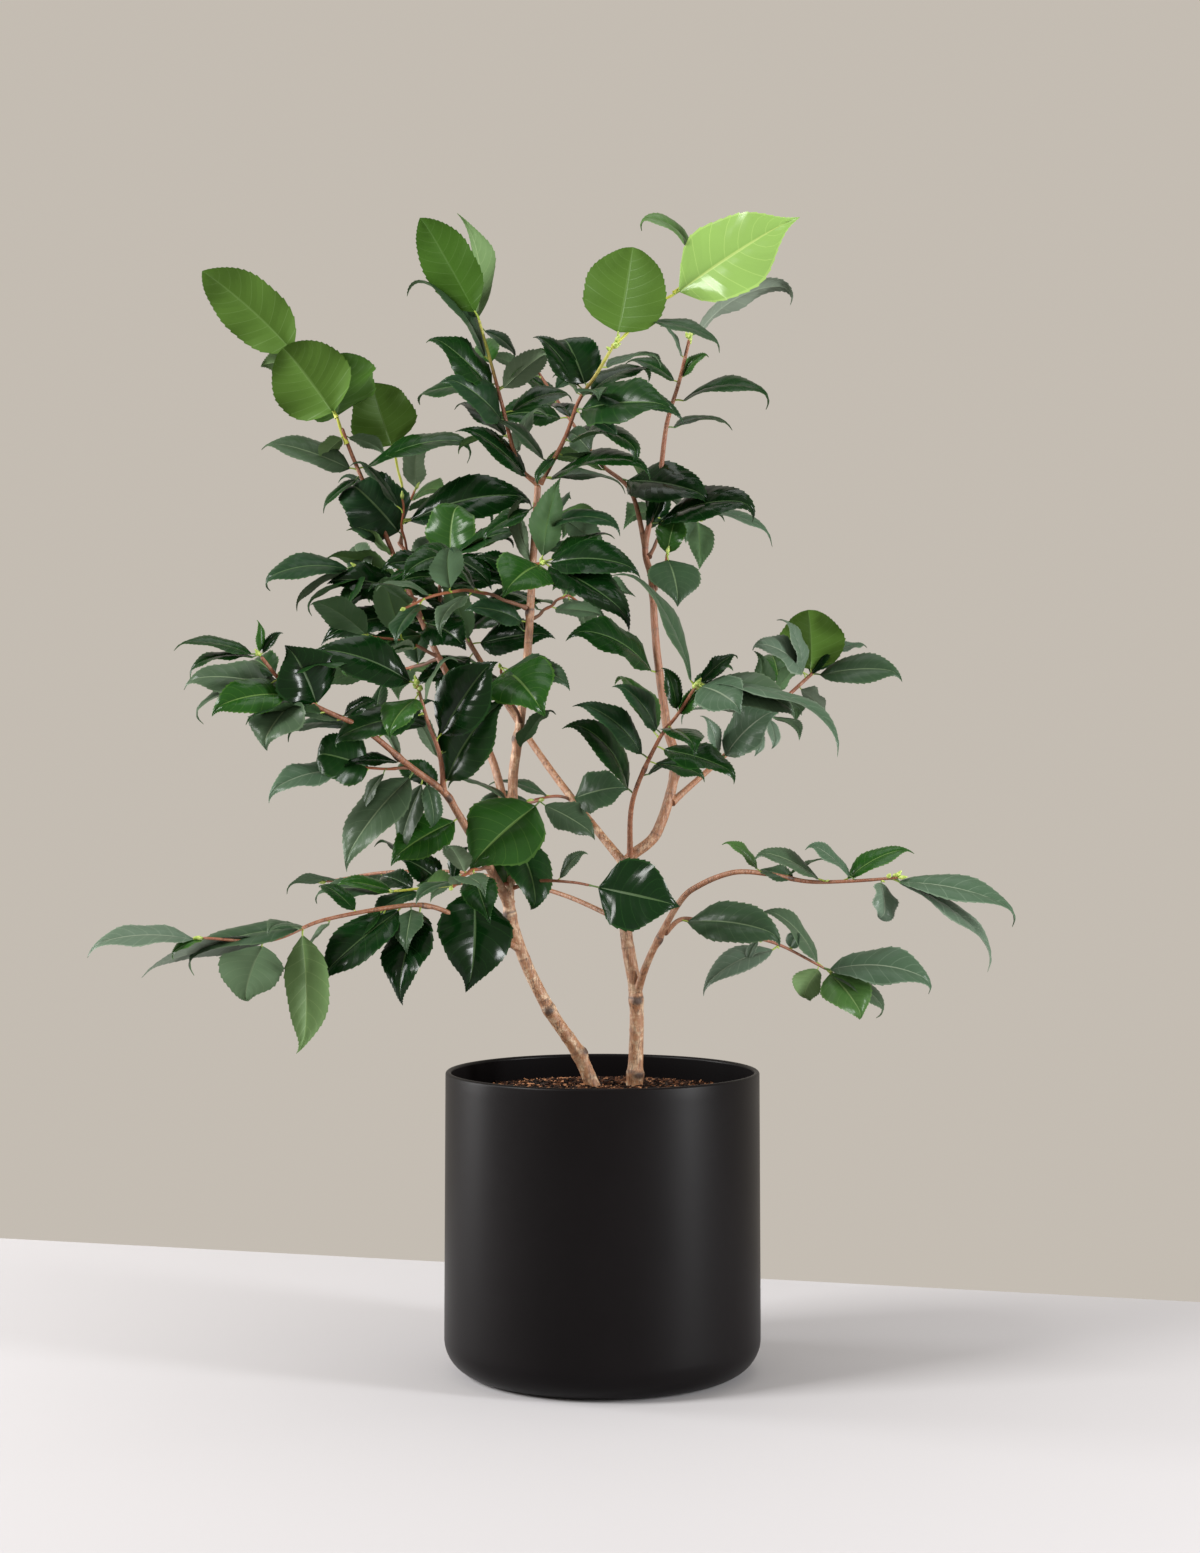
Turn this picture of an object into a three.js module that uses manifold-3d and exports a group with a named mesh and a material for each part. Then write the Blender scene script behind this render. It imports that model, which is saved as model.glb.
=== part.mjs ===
// A young camellia shrub in a round black pot. Millimetres, +Z up.
// The origin is the middle of the pot's flat underside. -Y is the front.

import * as THREE from 'three';
import { mergeVertices } from 'three/addons/utils/BufferGeometryUtils.js';
import Module from 'manifold-3d';

const wasm = await Module();
wasm.setup();

// ---------------------------------------------------------------- driving dimensions

const GAP = 0.3;               // clearance between solids that touch

const POT = {
  radius: 127,                 // outside, where the wall is widest
  height: 240,
  rimRadius: 126,
  wall: 4.5,
  floor: 8,
  cornerRadius: 27,
  rimEase: 1.2,                // half of the rim's rounding
  segments: 48,
};

const SOIL = {
  edgeHeight: 220,             // where the mix meets the wall
  topHeight: 226,              // flat ground that the stems stand on
  flatRadius: 62,
  segments: 32,
};

const LIMB = {
  sides: 7,
  ringSpacing: 28,             // length of limb between two rings
  knotEvery: 47,               // swellings at the leaf joints
  knotSwell: 0.07,
};

const MASS = {
  around: 10,
  along: 8,
  poleReach: 0.985,            // how far the outer rings reach towards the spine's ends
  bluntness: 0.38,             // 0 is a plain ellipsoid, larger is fuller towards its ends
};

const COLOURS = {
  pot: '#1c191a',
  soil: '#5a3a2a',
  stem: '#b98f6e',
  bough: '#8a6a52',
  dark: '#1f3b26',
  mid: '#2f5a2c',
  fresh: '#86b356',
};

// ---------------------------------------------------------------- small helpers

const point = ([x, y, z]) => new THREE.Vector3(x, y, z);

const curveThrough = (points) => new THREE.CatmullRomCurve3(points.map(point), false, 'centripetal');

// Bare positions with shared vertices: what a boolean and a closed mesh both need.
function welded(geometry) {
  const bare = geometry.index ? geometry.clone() : geometry;
  bare.deleteAttribute('normal');
  bare.deleteAttribute('uv');
  return mergeVertices(bare, 1e-4);
}

function toSolid(geometry) {
  const shape = welded(geometry);
  return new wasm.Manifold(new wasm.Mesh({
    numProp: 3,
    vertProperties: new Float32Array(shape.attributes.position.array),
    triVerts: new Uint32Array(shape.index.array),
  }));
}

function toGeometry(solid) {
  const mesh = solid.getMesh();
  const geometry = new THREE.BufferGeometry();
  geometry.setAttribute('position', new THREE.BufferAttribute(mesh.vertProperties, 3));
  geometry.setIndex(new THREE.BufferAttribute(mesh.triVerts, 1));
  geometry.computeVertexNormals();
  return geometry;
}

// A cut can leave crumbs; the piece that is kept is the largest.
function largestPiece(solid) {
  const pieces = solid.decompose();
  return pieces.reduce((best, next) => (next.volume() > best.volume() ? next : best));
}

const cutAway = (solid, cutters) => largestPiece(cutters.reduce((left, cutter) => left.subtract(cutter), solid));

const model = new THREE.Group();

function addPart(name, geometry, colour, roughness) {
  const material = new THREE.MeshStandardMaterial({ color: colour, roughness, metalness: 0 });
  const mesh = new THREE.Mesh(geometry, material);
  mesh.name = name;
  model.add(mesh);
}

// ---------------------------------------------------------------- pot and soil

// Points of a quarter circle about (r, z), from one angle to another.
function cornerArc(r, z, radius, from, to, steps) {
  return Array.from({ length: steps + 1 }, (_, i) => {
    const angle = from + ((to - from) * i) / steps;
    return new THREE.Vector2(r + radius * Math.cos(angle), z + radius * Math.sin(angle));
  });
}

function potGeometry() {
  const { radius, rimRadius, height, wall, floor, cornerRadius, rimEase } = POT;
  const inner = radius - wall;
  const innerCorner = cornerRadius - wall;
  const profile = [
    new THREE.Vector2(0, 0),
    ...cornerArc(radius - cornerRadius, cornerRadius, cornerRadius, -Math.PI / 2, 0, 5),
    new THREE.Vector2(rimRadius, height - rimEase),
    new THREE.Vector2(rimRadius - rimEase, height),
    new THREE.Vector2(rimRadius - wall + rimEase, height),
    new THREE.Vector2(rimRadius - wall, height - rimEase),
    ...cornerArc(inner - innerCorner, floor + innerCorner, innerCorner, 0, -Math.PI / 2, 3),
    new THREE.Vector2(0, floor),
  ];
  return welded(uprightLathe(profile, POT.segments));
}

function soilGeometry(lift) {
  const inner = POT.radius - POT.wall - GAP;
  const corner = POT.cornerRadius - POT.wall;
  const bottom = POT.floor + GAP;
  const topWall = POT.rimRadius - POT.wall - 2 * GAP;
  const profile = [
    new THREE.Vector2(0, bottom),
    ...cornerArc(inner - corner, bottom + corner, corner, -Math.PI / 2, 0, 3),
    new THREE.Vector2(topWall, SOIL.edgeHeight + lift),
    new THREE.Vector2((topWall + SOIL.flatRadius) / 2, (SOIL.edgeHeight + 2 * SOIL.topHeight) / 3 + lift),
    new THREE.Vector2(SOIL.flatRadius, SOIL.topHeight + lift),
    new THREE.Vector2(0, SOIL.topHeight + lift),
  ];
  return welded(uprightLathe(profile, SOIL.segments));
}

// LatheGeometry turns about Y; this stands it up on Z.
function uprightLathe(profile, segments) {
  const geometry = new THREE.LatheGeometry(profile, segments);
  geometry.rotateX(Math.PI / 2);
  return geometry;
}

// ---------------------------------------------------------------- limbs

// Side and up vectors that stay square to the curve without spinning round it.
function framesAlong(curve, count) {
  const frames = curve.computeFrenetFrames(count, false);
  return frames.normals.map((normal, i) => ({ side: normal, up: frames.binormals[i] }));
}

// One tapering limb: a cylinder laid along a smooth route.
function limbGeometry({ route, radii }, grow = 0) {
  const curve = curveThrough(route);
  const length = curve.getLength();
  const rings = Math.max(4, Math.round(length / LIMB.ringSpacing));
  const frames = framesAlong(curve, rings);
  const geometry = new THREE.CylinderGeometry(1, 1, 1, LIMB.sides, rings, false);
  const position = geometry.attributes.position;
  for (let i = 0; i < position.count; i += 1) {
    const t = position.getY(i) + 0.5;
    const ring = Math.round(t * rings);
    const radius = limbRadius(radii, t, length) + grow;
    const place = curve.getPointAt(ring / rings);
    place.addScaledVector(frames[ring].side, position.getZ(i) * radius);
    place.addScaledVector(frames[ring].up, position.getX(i) * radius);
    place.addScaledVector(curve.getTangentAt(ring / rings), endPush(ring, rings) * grow);
    position.setXYZ(i, place.x, place.y, place.z);
  }
  return geometry;
}

// Grown limbs are longer at both ends as well.
function endPush(ring, rings) {
  if (ring === 0) {
    return -1;
  }
  return ring === rings ? 1 : 0;
}

function limbRadius([base, tip], t, length) {
  const taper = base + (tip - base) * Math.pow(t, 0.85);
  const swell = Math.pow(Math.abs(Math.cos((Math.PI * t * length) / LIMB.knotEvery)), 6);
  return taper * (1 + LIMB.knotSwell * swell);
}

// Routes run from the root end outwards; radii are [root end, outer end].
const FORK_LEFT = [-75, -5, 374];
const FORK_RIGHT = [19, 8, 404];
const FORK_LEADER = [-52, 5, 711];
const FORK_SIDE = [-124, -60, 464];
const FORK_UPPER_RIGHT = [35, 29, 664];

const LIMBS = {
  stem_left: {
    route: [[-4, 15, 214], [-20, 13, 253], [-43, 9, 288], [-64, 2, 332], FORK_LEFT],
    radii: [6.6, 5.4],
  },
  stem_right: {
    route: [[25, 15, 214], [27, 14, 250], [27, 10, 299], [19, 8, 351], FORK_RIGHT],
    radii: [6.2, 5.0],
  },
  leader_left: {
    route: [FORK_LEFT, [-72, -3, 415], [-72, 2, 473], [-68, 5, 506], [-61, 8, 568], [-56, 8, 651], FORK_LEADER],
    radii: [5.0, 2.6],
  },
  leader_right: {
    route: [FORK_RIGHT, [44, 10, 431], [59, 15, 484], [52, 18, 518], [44, 22, 579], [40, 26, 635], FORK_UPPER_RIGHT],
    radii: [4.6, 2.8],
  },
  bough_side_left: {
    route: [FORK_LEFT, [-93, -30, 410], [-114, -50, 448], FORK_SIDE],
    radii: [3.8, 3.0],
  },
  bough_side_upper: {
    route: [FORK_SIDE, [-126, -75, 492], [-135, -90, 520], [-142, -100, 547]],
    radii: [2.2, 1.4],
  },
  bough_side_outer: {
    route: [FORK_SIDE, [-149, -80, 484], [-182, -105, 512], [-216, -125, 529]],
    radii: [2.8, 1.9],
  },
  bough_rear_left: {
    route: [[-74, 0, 433], [-88, 25, 485], [-102, 38, 514], [-134, 55, 572], [-166, 70, 642], [-189, 75, 698], [-208, 70, 743]],
    radii: [3.4, 1.8],
  },
  bough_crossing: {
    route: [FORK_RIGHT, [-17, 35, 448], [-51, 60, 493], [-84, 85, 543], [-124, 110, 608], [-146, 122, 640]],
    radii: [3.4, 1.9],
  },
  bough_middle: {
    route: [FORK_RIGHT, [24, -25, 457], [43, -65, 503], [58, -84, 524]],
    radii: [2.4, 1.5],
  },
  bough_right: {
    route: [[56, 12, 455], [90, 45, 484], [123, 70, 513]],
    radii: [2.6, 1.9],
  },
  bough_low_right: {
    route: [[27, 10, 299], [38, -10, 332], [60, -30, 375], [76, -40, 390], [103, -55, 401], [130, -70, 400]],
    radii: [3.2, 1.9],
  },
  bough_low_right_rear: {
    route: [[50, -20, 352], [66, 12, 361], [96, 36, 353], [120, 50, 345]],
    radii: [2.0, 1.5],
  },
  bough_low_rear: {
    route: [[19, 8, 358], [-38, 60, 380], [-112, 110, 394]],
    radii: [2.2, 1.5],
  },
  bough_low_left: {
    route: [[-68, 0, 338], [-90, -22, 352], [-107, -35, 361], [-125, -48, 370]],
    radii: [2.4, 1.8],
  },
  twig_centre: {
    route: [[-74, -4, 386], [-50, -24, 393], [-25, -46, 393], [-2, -60, 391]],
    radii: [1.6, 1.1],
  },
  twig_top_left: {
    route: [FORK_LEADER, [-68, 0, 728], [-78, -12, 762]],
    radii: [2.0, 1.6],
  },
  twig_top_centre: {
    route: [FORK_LEADER, [-30, -15, 746], [-19, -30, 773]],
    radii: [2.0, 1.6],
  },
  twig_upper_right: {
    route: [FORK_UPPER_RIGHT, [46, 25, 715], [52, 15, 761], [60, 8, 792]],
    radii: [2.2, 1.5],
  },
  twig_upper_rear: {
    route: [FORK_UPPER_RIGHT, [23, 40, 710], [-2, 50, 734], [-22, 58, 764]],
    radii: [2.2, 1.6],
  },
};

// ---------------------------------------------------------------- foliage masses

// Each mass is a spray's envelope along its own spine, which starts on the limb that bears it.
// reach is half its breadth at the spine's start, middle and end, and thickness is half its depth.
const MASSES = {
  leaves_top_left: {
    spine: [[-188, 72, 722], [-238, 62, 795], [-322, 50, 896]],
    reach: [44, 46, 26],
    thickness: [30, 24, 14],
    colour: 'fresh',
  },
  leaves_top_leader: {
    spine: [[-74, -8, 750], [-92, -20, 810], [-102, -28, 860], [-128, -34, 934]],
    reach: [42, 34, 20],
    thickness: [34, 26, 14],
    colour: 'fresh',
  },
  leaves_top_centre: {
    spine: [[-28, -22, 752], [2, -45, 800], [28, -66, 886]],
    reach: [26, 30, 42],
    thickness: [22, 18, 10],
    colour: 'fresh',
  },
  leaves_top_right: {
    spine: [[62, 14, 766], [92, 0, 850], [162, -14, 924]],
    reach: [48, 50, 26],
    thickness: [32, 24, 12],
    colour: 'fresh',
  },
  leaves_upper_right: {
    spine: [[26, -2, 728], [80, 6, 702], [148, 0, 662]],
    reach: [34, 38, 22],
    thickness: [26, 30, 18],
    colour: 'dark',
  },
  leaves_upper_right_rear: {
    spine: [[40, 36, 674], [84, 120, 706], [112, 204, 692]],
    reach: [30, 36, 24],
    thickness: [24, 30, 20],
    colour: 'dark',
  },
  leaves_upper_rear: {
    spine: [[-4, 54, 742], [-44, 68, 800], [-94, 74, 842]],
    reach: [36, 36, 22],
    thickness: [26, 26, 16],
    colour: 'dark',
  },
  leaves_upper_left: {
    spine: [[-262, 60, 636], [-214, 66, 664], [-160, 84, 696]],
    reach: [26, 40, 30],
    thickness: [22, 32, 28],
    colour: 'dark',
  },
  leaves_upper_inner: {
    spine: [[-160, 10, 668], [-112, -12, 694], [-58, 0, 690]],
    reach: [28, 34, 26],
    thickness: [24, 24, 16],
    colour: 'dark',
  },
  leaves_upper_back: {
    spine: [[-140, 128, 636], [-156, 150, 700], [-180, 142, 768]],
    reach: [38, 40, 26],
    thickness: [30, 34, 22],
    colour: 'dark',
  },
  leaves_middle_left: {
    spine: [[-228, 4, 586], [-172, 18, 590], [-122, 42, 596]],
    reach: [30, 42, 36],
    thickness: [26, 32, 26],
    colour: 'dark',
  },
  leaves_back_left: {
    spine: [[-134, 66, 560], [-184, 140, 562], [-226, 214, 588]],
    reach: [34, 40, 26],
    thickness: [26, 32, 22],
    colour: 'dark',
  },
  leaves_front_left: {
    spine: [[-74, -6, 622], [-136, -90, 618], [-176, -168, 588]],
    reach: [30, 34, 22],
    thickness: [22, 26, 18],
    colour: 'mid',
  },
  leaves_left_tip: {
    spine: [[-200, -120, 520], [-252, -140, 540], [-318, -152, 566]],
    reach: [34, 38, 24],
    thickness: [28, 30, 20],
    colour: 'dark',
  },
  leaves_left_hanging: {
    spine: [[-120, -62, 448], [-184, -90, 438], [-254, -92, 462]],
    reach: [26, 38, 22],
    thickness: [20, 24, 16],
    colour: 'dark',
  },
  leaves_centre_left: {
    spine: [[-112, -76, 572], [-94, -64, 505], [-88, -40, 412]],
    reach: [26, 32, 22],
    thickness: [18, 22, 16],
    colour: 'mid',
  },
  leaves_centre_upper: {
    spine: [[-60, -6, 640], [-18, -40, 632], [42, -40, 598], [88, -46, 556]],
    reach: [26, 32, 18],
    thickness: [20, 22, 14],
    colour: 'dark',
  },
  leaves_centre_back: {
    spine: [[-54, 18, 652], [-20, 90, 636], [40, 150, 598]],
    reach: [30, 34, 24],
    thickness: [28, 32, 22],
    colour: 'dark',
  },
  leaves_centre_top: {
    spine: [[-48, 12, 704], [-12, 44, 676], [24, 62, 648]],
    reach: [26, 32, 20],
    thickness: [20, 24, 16],
    colour: 'dark',
  },
  leaves_centre_low: {
    spine: [[-70, 46, 462], [-32, 64, 470], [6, 66, 462]],
    reach: [24, 28, 18],
    thickness: [20, 24, 16],
    colour: 'dark',
  },
  leaves_centre_right: {
    spine: [[-22, -82, 502], [40, -90, 514], [102, -92, 510]],
    reach: [28, 36, 22],
    thickness: [18, 24, 16],
    colour: 'dark',
  },
  leaves_right: {
    spine: [[84, 74, 516], [160, 92, 558], [246, 96, 574]],
    reach: [30, 52, 26],
    thickness: [26, 34, 20],
    colour: 'dark',
  },
  leaves_right_rear: {
    spine: [[122, 84, 506], [138, 150, 538], [158, 218, 562]],
    reach: [26, 34, 22],
    thickness: [24, 28, 18],
    colour: 'dark',
  },
  leaves_low_right: {
    spine: [[108, -62, 402], [214, -106, 402], [305, -124, 358]],
    reach: [18, 27, 24],
    thickness: [24, 30, 18],
    colour: 'dark',
  },
  leaves_low_right_rear: {
    spine: [[76, 34, 340], [170, 70, 322], [274, 92, 314]],
    reach: [26, 38, 20],
    thickness: [22, 28, 16],
    colour: 'dark',
  },
  leaves_low_rear: {
    spine: [[-92, 104, 392], [-170, 144, 398], [-250, 190, 389]],
    reach: [20, 24, 16],
    thickness: [26, 38, 22],
    colour: 'dark',
  },
  leaves_low_front: {
    spine: [[-94, -36, 410], [-108, -112, 410], [-122, -182, 392]],
    reach: [22, 28, 18],
    thickness: [20, 26, 16],
    colour: 'dark',
  },
  leaves_low_left: {
    spine: [[-96, -44, 342], [-150, -70, 346], [-218, -98, 348]],
    reach: [30, 42, 26],
    thickness: [18, 24, 18],
    colour: 'dark',
  },
  leaves_low_left_tip: {
    spine: [[-220, -110, 318], [-296, -138, 338], [-386, -154, 337]],
    reach: [58, 36, 12],
    thickness: [24, 24, 12],
    colour: 'mid',
  },
  leaf_centre: {
    spine: [[-4, -61, 390], [28, -69, 386], [60, -76, 376]],
    reach: [16, 24, 12],
    thickness: [7, 9, 6],
    colour: 'dark',
  },
};

// A value given at the start, middle and end, read smoothly in between.
function between([start, middle, end], t) {
  const a = t < 0.5 ? start : middle;
  const b = t < 0.5 ? middle : end;
  const local = t < 0.5 ? 2 * t : 2 * t - 1;
  return a + (b - a) * local * local * (3 - 2 * local);
}

// Slow waves over the unit sphere, different for every seed.
function unevenness(direction, seed) {
  const { x, y, z } = direction;
  const slow = Math.sin(3.1 * x + 2.3 * y + seed) * Math.cos(2.7 * z - 1.9 * y + 2 * seed);
  const quick = Math.sin(6.3 * y + 5.1 * z + 3 * seed) * Math.cos(5.7 * x + 4 * seed);
  return 0.13 * slow + 0.1 * quick;
}

// One foliage mass: a sphere drawn out along its spine, with an uneven skin.
function massGeometry({ spine, reach, thickness }, seed, grow = 0) {
  const curve = curveThrough(spine);
  const up = new THREE.Vector3();
  const side = new THREE.Vector3();
  const ball = new THREE.SphereGeometry(1, MASS.around, MASS.along);
  const position = ball.attributes.position;
  const direction = new THREE.Vector3();
  for (let i = 0; i < position.count; i += 1) {
    direction.fromBufferAttribute(position, i);
    const t = THREE.MathUtils.clamp((MASS.poleReach * direction.y + 1) / 2, 0, 1);
    const tangent = curve.getTangentAt(t);
    side.set(0, 0, 1).cross(tangent).normalize();
    up.copy(tangent).cross(side);
    const radial = Math.max(Math.hypot(direction.x, direction.z), 1e-6);
    const skin = (1 + unevenness(direction, seed)) * Math.pow(radial, -MASS.bluntness);
    const place = curve.getPointAt(t);
    place.addScaledVector(up, direction.x * (between(reach, t) * skin + grow));
    place.addScaledVector(side, direction.z * (between(thickness, t) * skin + grow));
    place.addScaledVector(tangent, direction.y * grow);
    position.setXYZ(i, place.x, place.y, place.z);
  }
  return ball;
}

// ---------------------------------------------------------------- assembly

addPart('pot', potGeometry(), COLOURS.pot, 0.45);
addPart('soil', soilGeometry(0), COLOURS.soil, 0.95);

const ground = toSolid(soilGeometry(GAP));
const limbClearance = [];

for (const [name, limb] of Object.entries(LIMBS)) {
  const cutters = name.startsWith('stem') ? [ground] : limbClearance;
  const solid = cutAway(toSolid(limbGeometry(limb)), cutters);
  limbClearance.push(toSolid(limbGeometry(limb, GAP)));
  addPart(name, toGeometry(solid), name.startsWith('stem') ? COLOURS.stem : COLOURS.bough, 0.7);
}

const massClearance = [];
for (const [index, [name, mass]] of Object.entries(MASSES).entries()) {
  const whole = toSolid(massGeometry(mass, index));
  const solid = cutAway(whole, [...limbClearance, ...massClearance]);
  massClearance.push(toSolid(massGeometry(mass, index, 1.5 * GAP)));
  addPart(name, toGeometry(solid), COLOURS[mass.colour], 0.5);
}

export default model;
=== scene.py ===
"""A young camellia shrub in a round black pot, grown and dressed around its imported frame.

Sizes in the tables are millimetres; every Blender mesh is in metres. -Y is the front.
"""

import logging
import math
from dataclasses import dataclass, field
from enum import Enum

import bpy
import numpy as np
from mathutils import Matrix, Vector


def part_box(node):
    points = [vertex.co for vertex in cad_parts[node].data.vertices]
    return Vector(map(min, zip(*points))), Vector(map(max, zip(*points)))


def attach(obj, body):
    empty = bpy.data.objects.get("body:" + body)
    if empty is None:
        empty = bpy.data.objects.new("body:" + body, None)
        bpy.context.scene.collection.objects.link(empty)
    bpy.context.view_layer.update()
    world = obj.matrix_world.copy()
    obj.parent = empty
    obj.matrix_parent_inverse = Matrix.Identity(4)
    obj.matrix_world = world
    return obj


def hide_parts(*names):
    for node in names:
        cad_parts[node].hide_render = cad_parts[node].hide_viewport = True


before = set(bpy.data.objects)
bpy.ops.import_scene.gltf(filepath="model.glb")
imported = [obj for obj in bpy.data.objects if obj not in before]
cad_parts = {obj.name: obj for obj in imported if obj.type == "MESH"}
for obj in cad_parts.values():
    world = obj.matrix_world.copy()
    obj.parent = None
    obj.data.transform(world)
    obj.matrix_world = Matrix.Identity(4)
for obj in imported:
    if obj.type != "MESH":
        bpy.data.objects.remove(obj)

MM = 0.001
BODY = "root"
UP = np.array([0.0, 0.0, 1.0])
FRONT = np.array([0.0, -1.0, 0.0])
SKY = np.array([0.15, 0.0, 1.0])  # what counts as up for a leaf's upper face
LAP = 6.28  # about one full turn, the range of a random angle
log = logging.getLogger("camellia")

Array = np.ndarray
Chance = np.random.Generator
Material = bpy.types.Material
Socket = bpy.types.NodeSocket
Pair = tuple[float, float]
Point = Colour = tuple[float, float, float]


# ---------------------------------------------------------------- choices


class Form(Enum):
    """Leaf outlines: half-breadth at stations from the base to the tip."""

    OVAL = ((0.0, 0.03), (0.05, 0.28), (0.13, 0.60), (0.27, 0.92), (0.41, 1.0), (0.55, 0.93),
            (0.68, 0.70), (0.78, 0.42), (0.85, 0.22), (0.92, 0.09), (1.0, 0.0))
    OBLONG = ((0.0, 0.03), (0.05, 0.34), (0.14, 0.68), (0.30, 0.95), (0.48, 1.0), (0.65, 0.93),
              (0.79, 0.72), (0.89, 0.46), (0.95, 0.24), (0.98, 0.11), (1.0, 0.0))
    ROUND = ((0.0, 0.04), (0.03, 0.30), (0.09, 0.60), (0.22, 0.90), (0.42, 1.0), (0.62, 0.95),
             (0.78, 0.77), (0.89, 0.52), (0.95, 0.32), (0.985, 0.16), (1.0, 0.0))


class Tint(Enum):
    """Families of leaf colour, from old to newest growth, and two grey-green ones that hold painted sheen."""

    DEEP = "deep"
    DARK = "dark"
    MID = "mid"
    # grey-green: partly the leaves' own tone, partly painted sheen
    GREY_AND_SHEEN = "grey"
    # pale grey-green: painted sheen on leaves that catch the lamps, not their own green
    MIST = "painted_sheen"
    SOFT = "soft"
    FRESH = "fresh"
    BRIGHT = "bright"


class Bud(Enum):
    """What a shoot ends in."""

    NONE = "none"
    LEAF = "leaf"
    CLUSTER = "cluster"


OVAL, OBLONG, ROUND = Form
DEEP, DARK, MID, GREY_AND_SHEEN, MIST, SOFT, FRESH, BRIGHT = Tint


# ---------------------------------------------------------------- small tools


def unit(v: Array) -> Array:
    """The vector scaled to length one."""
    return v / max(float(np.linalg.norm(v)), 1e-12)


def smooth(t: Array) -> Array:
    """Smooth step from 0 to 1."""
    t = np.clip(t, 0, 1)
    return t * t * (3 - 2 * t)


def hill(distance: Array, width: float) -> Array:
    """A round hill, 1 high where the distance is 0."""
    return np.exp(-(distance / width) ** 2)


def turns(count: int) -> Array:
    """Even angles round a circle, in radians."""
    return np.arange(count) * 2 * math.pi / count


def read_off(x: Array | float, at: Array, table: Array) -> Array:
    """Points read off a table, where at holds the place of each of its rows."""
    return np.stack([np.interp(x, at, column) for column in table.T], -1)


def axes(way: Array, face: Array) -> Array:
    """Three unit rows: a way, the side square to it, and the face made square to both."""
    face = unit(face - way * (face @ way))
    return np.stack([way, np.cross(face, way), face])


def facing(way: Array) -> tuple[Array, Array]:
    """How a leaf can turn about its own length.

    Args:
        way: unit vector from its base to its tip.

    Returns:
        The unit normals that show its upper face to the front, and to the sky.
    """
    toward = unit(FRONT - way * (FRONT @ way))
    across = np.cross(way, toward)
    return toward, across if across @ SKY >= 0 else -across


def rotation_about(axis: Array, angle: float) -> Array:
    """Rotation matrix about a unit axis.

    Args:
        axis: unit vector.
        angle: radians.

    Returns:
        A 3 by 3 matrix.
    """
    x, y, z = axis
    c, s = math.cos(angle), math.sin(angle)
    k = np.array([[0, -z, y], [z, 0, -x], [-y, x, 0]])
    return np.eye(3) * c + s * k + (1 - c) * np.outer(axis, axis)


def frames_along(path: Array) -> tuple[Array, Array]:
    """Two directions square to a path that don't spin round it.

    Args:
        path: points along the path.

    Returns:
        The side and the up vector at each point.
    """
    way = np.gradient(path, axis=0)
    way /= np.linalg.norm(way, axis=1)[:, None]
    side = unit(np.cross(way[0], [0.31, 0.93, 0.17]))
    sides = []
    for w in way:
        side = unit(side - w * (side @ w))
        sides.append(side)
    return np.array(sides), np.cross(way, sides)


def grid(rows: int, columns: int, closed: bool = True) -> Array:
    """Faces of a grid of vertices that are numbered row by row.

    Args:
        rows: how many rows.
        columns: vertices in a row.
        closed: whether each row is a ring.

    Returns:
        Four vertex numbers a face.
    """
    faces = columns if closed else columns - 1
    i, j = np.meshgrid(np.arange(rows - 1) * columns, np.arange(faces), indexing="ij")
    k = (j + 1) % columns
    return np.stack([i + j, i + k, i + columns + k, i + columns + j], -1).reshape(-1, 4)


def skin(rings: int, sides: int) -> Array:
    """Faces of a closed skin over rings of vertices.

    Args:
        rings: how many rings.
        sides: vertices in a ring, an even number.

    Returns:
        Four vertex numbers a face: the wall, then the first and the last end.
    """
    c = np.arange(sides // 2 - 1)
    end = np.stack([sides - 1 - c, sides - 2 - c, c + 1, c], -1)
    return np.vstack([grid(rings, sides), end, (rings - 1) * sides + end[:, ::-1]])


@dataclass
class Route:
    """A smooth line through a few points in millimetres, measured along its length."""

    points: tuple[Point, ...]
    step: float = 1.5
    line: Array = field(init=False)
    reach: Array = field(init=False)

    def __post_init__(self) -> None:
        """Samples the line and its running length."""
        p = np.array(self.points, float)
        p = np.vstack([2 * p[0] - p[1], p, 2 * p[-1] - p[-2]])
        parts = []
        for a, b, c, d in zip(p[:-3], p[1:-2], p[2:-1], p[3:]):
            count = max(2, int(np.linalg.norm(c - b) / self.step))
            t = (np.arange(count) / count)[:, None]
            parts.append(0.5 * (2 * b + (c - a) * t + (2 * a - 5 * b + 4 * c - d) * t * t
                                + (3 * b - a - 3 * c + d) * t ** 3))
        self.line = np.vstack(parts + [p[-2][None]])
        steps = np.linalg.norm(np.diff(self.line, axis=0), axis=1)
        self.reach = np.concatenate([[0.0], np.cumsum(steps)])

    @property
    def length(self) -> float:
        """Length along the line, in millimetres."""
        return float(self.reach[-1])

    def at(self, share: float) -> Array:
        """The point at a share of the length; past the end it runs straight on."""
        s = share * self.length
        return read_off(s, self.reach, self.line) + self.way(1.0) * max(s - self.length, 0.0)

    def way(self, share: float) -> Array:
        """The unit direction of growth at a share of the length."""
        i = int(np.clip(np.searchsorted(self.reach, share * self.length), 2, len(self.line) - 2))
        return unit(self.line[i + 1] - self.line[i - 2])

    def rings(self, spacing: float) -> tuple[Array, Array]:
        """Even samples along the line.

        Args:
            spacing: distance between samples, in millimetres.

        Returns:
            The points, and their share of the length.
        """
        s = np.linspace(0, self.length, max(3, int(round(self.length / spacing)) + 1))
        return read_off(s, self.reach, self.line), s / self.length


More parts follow.
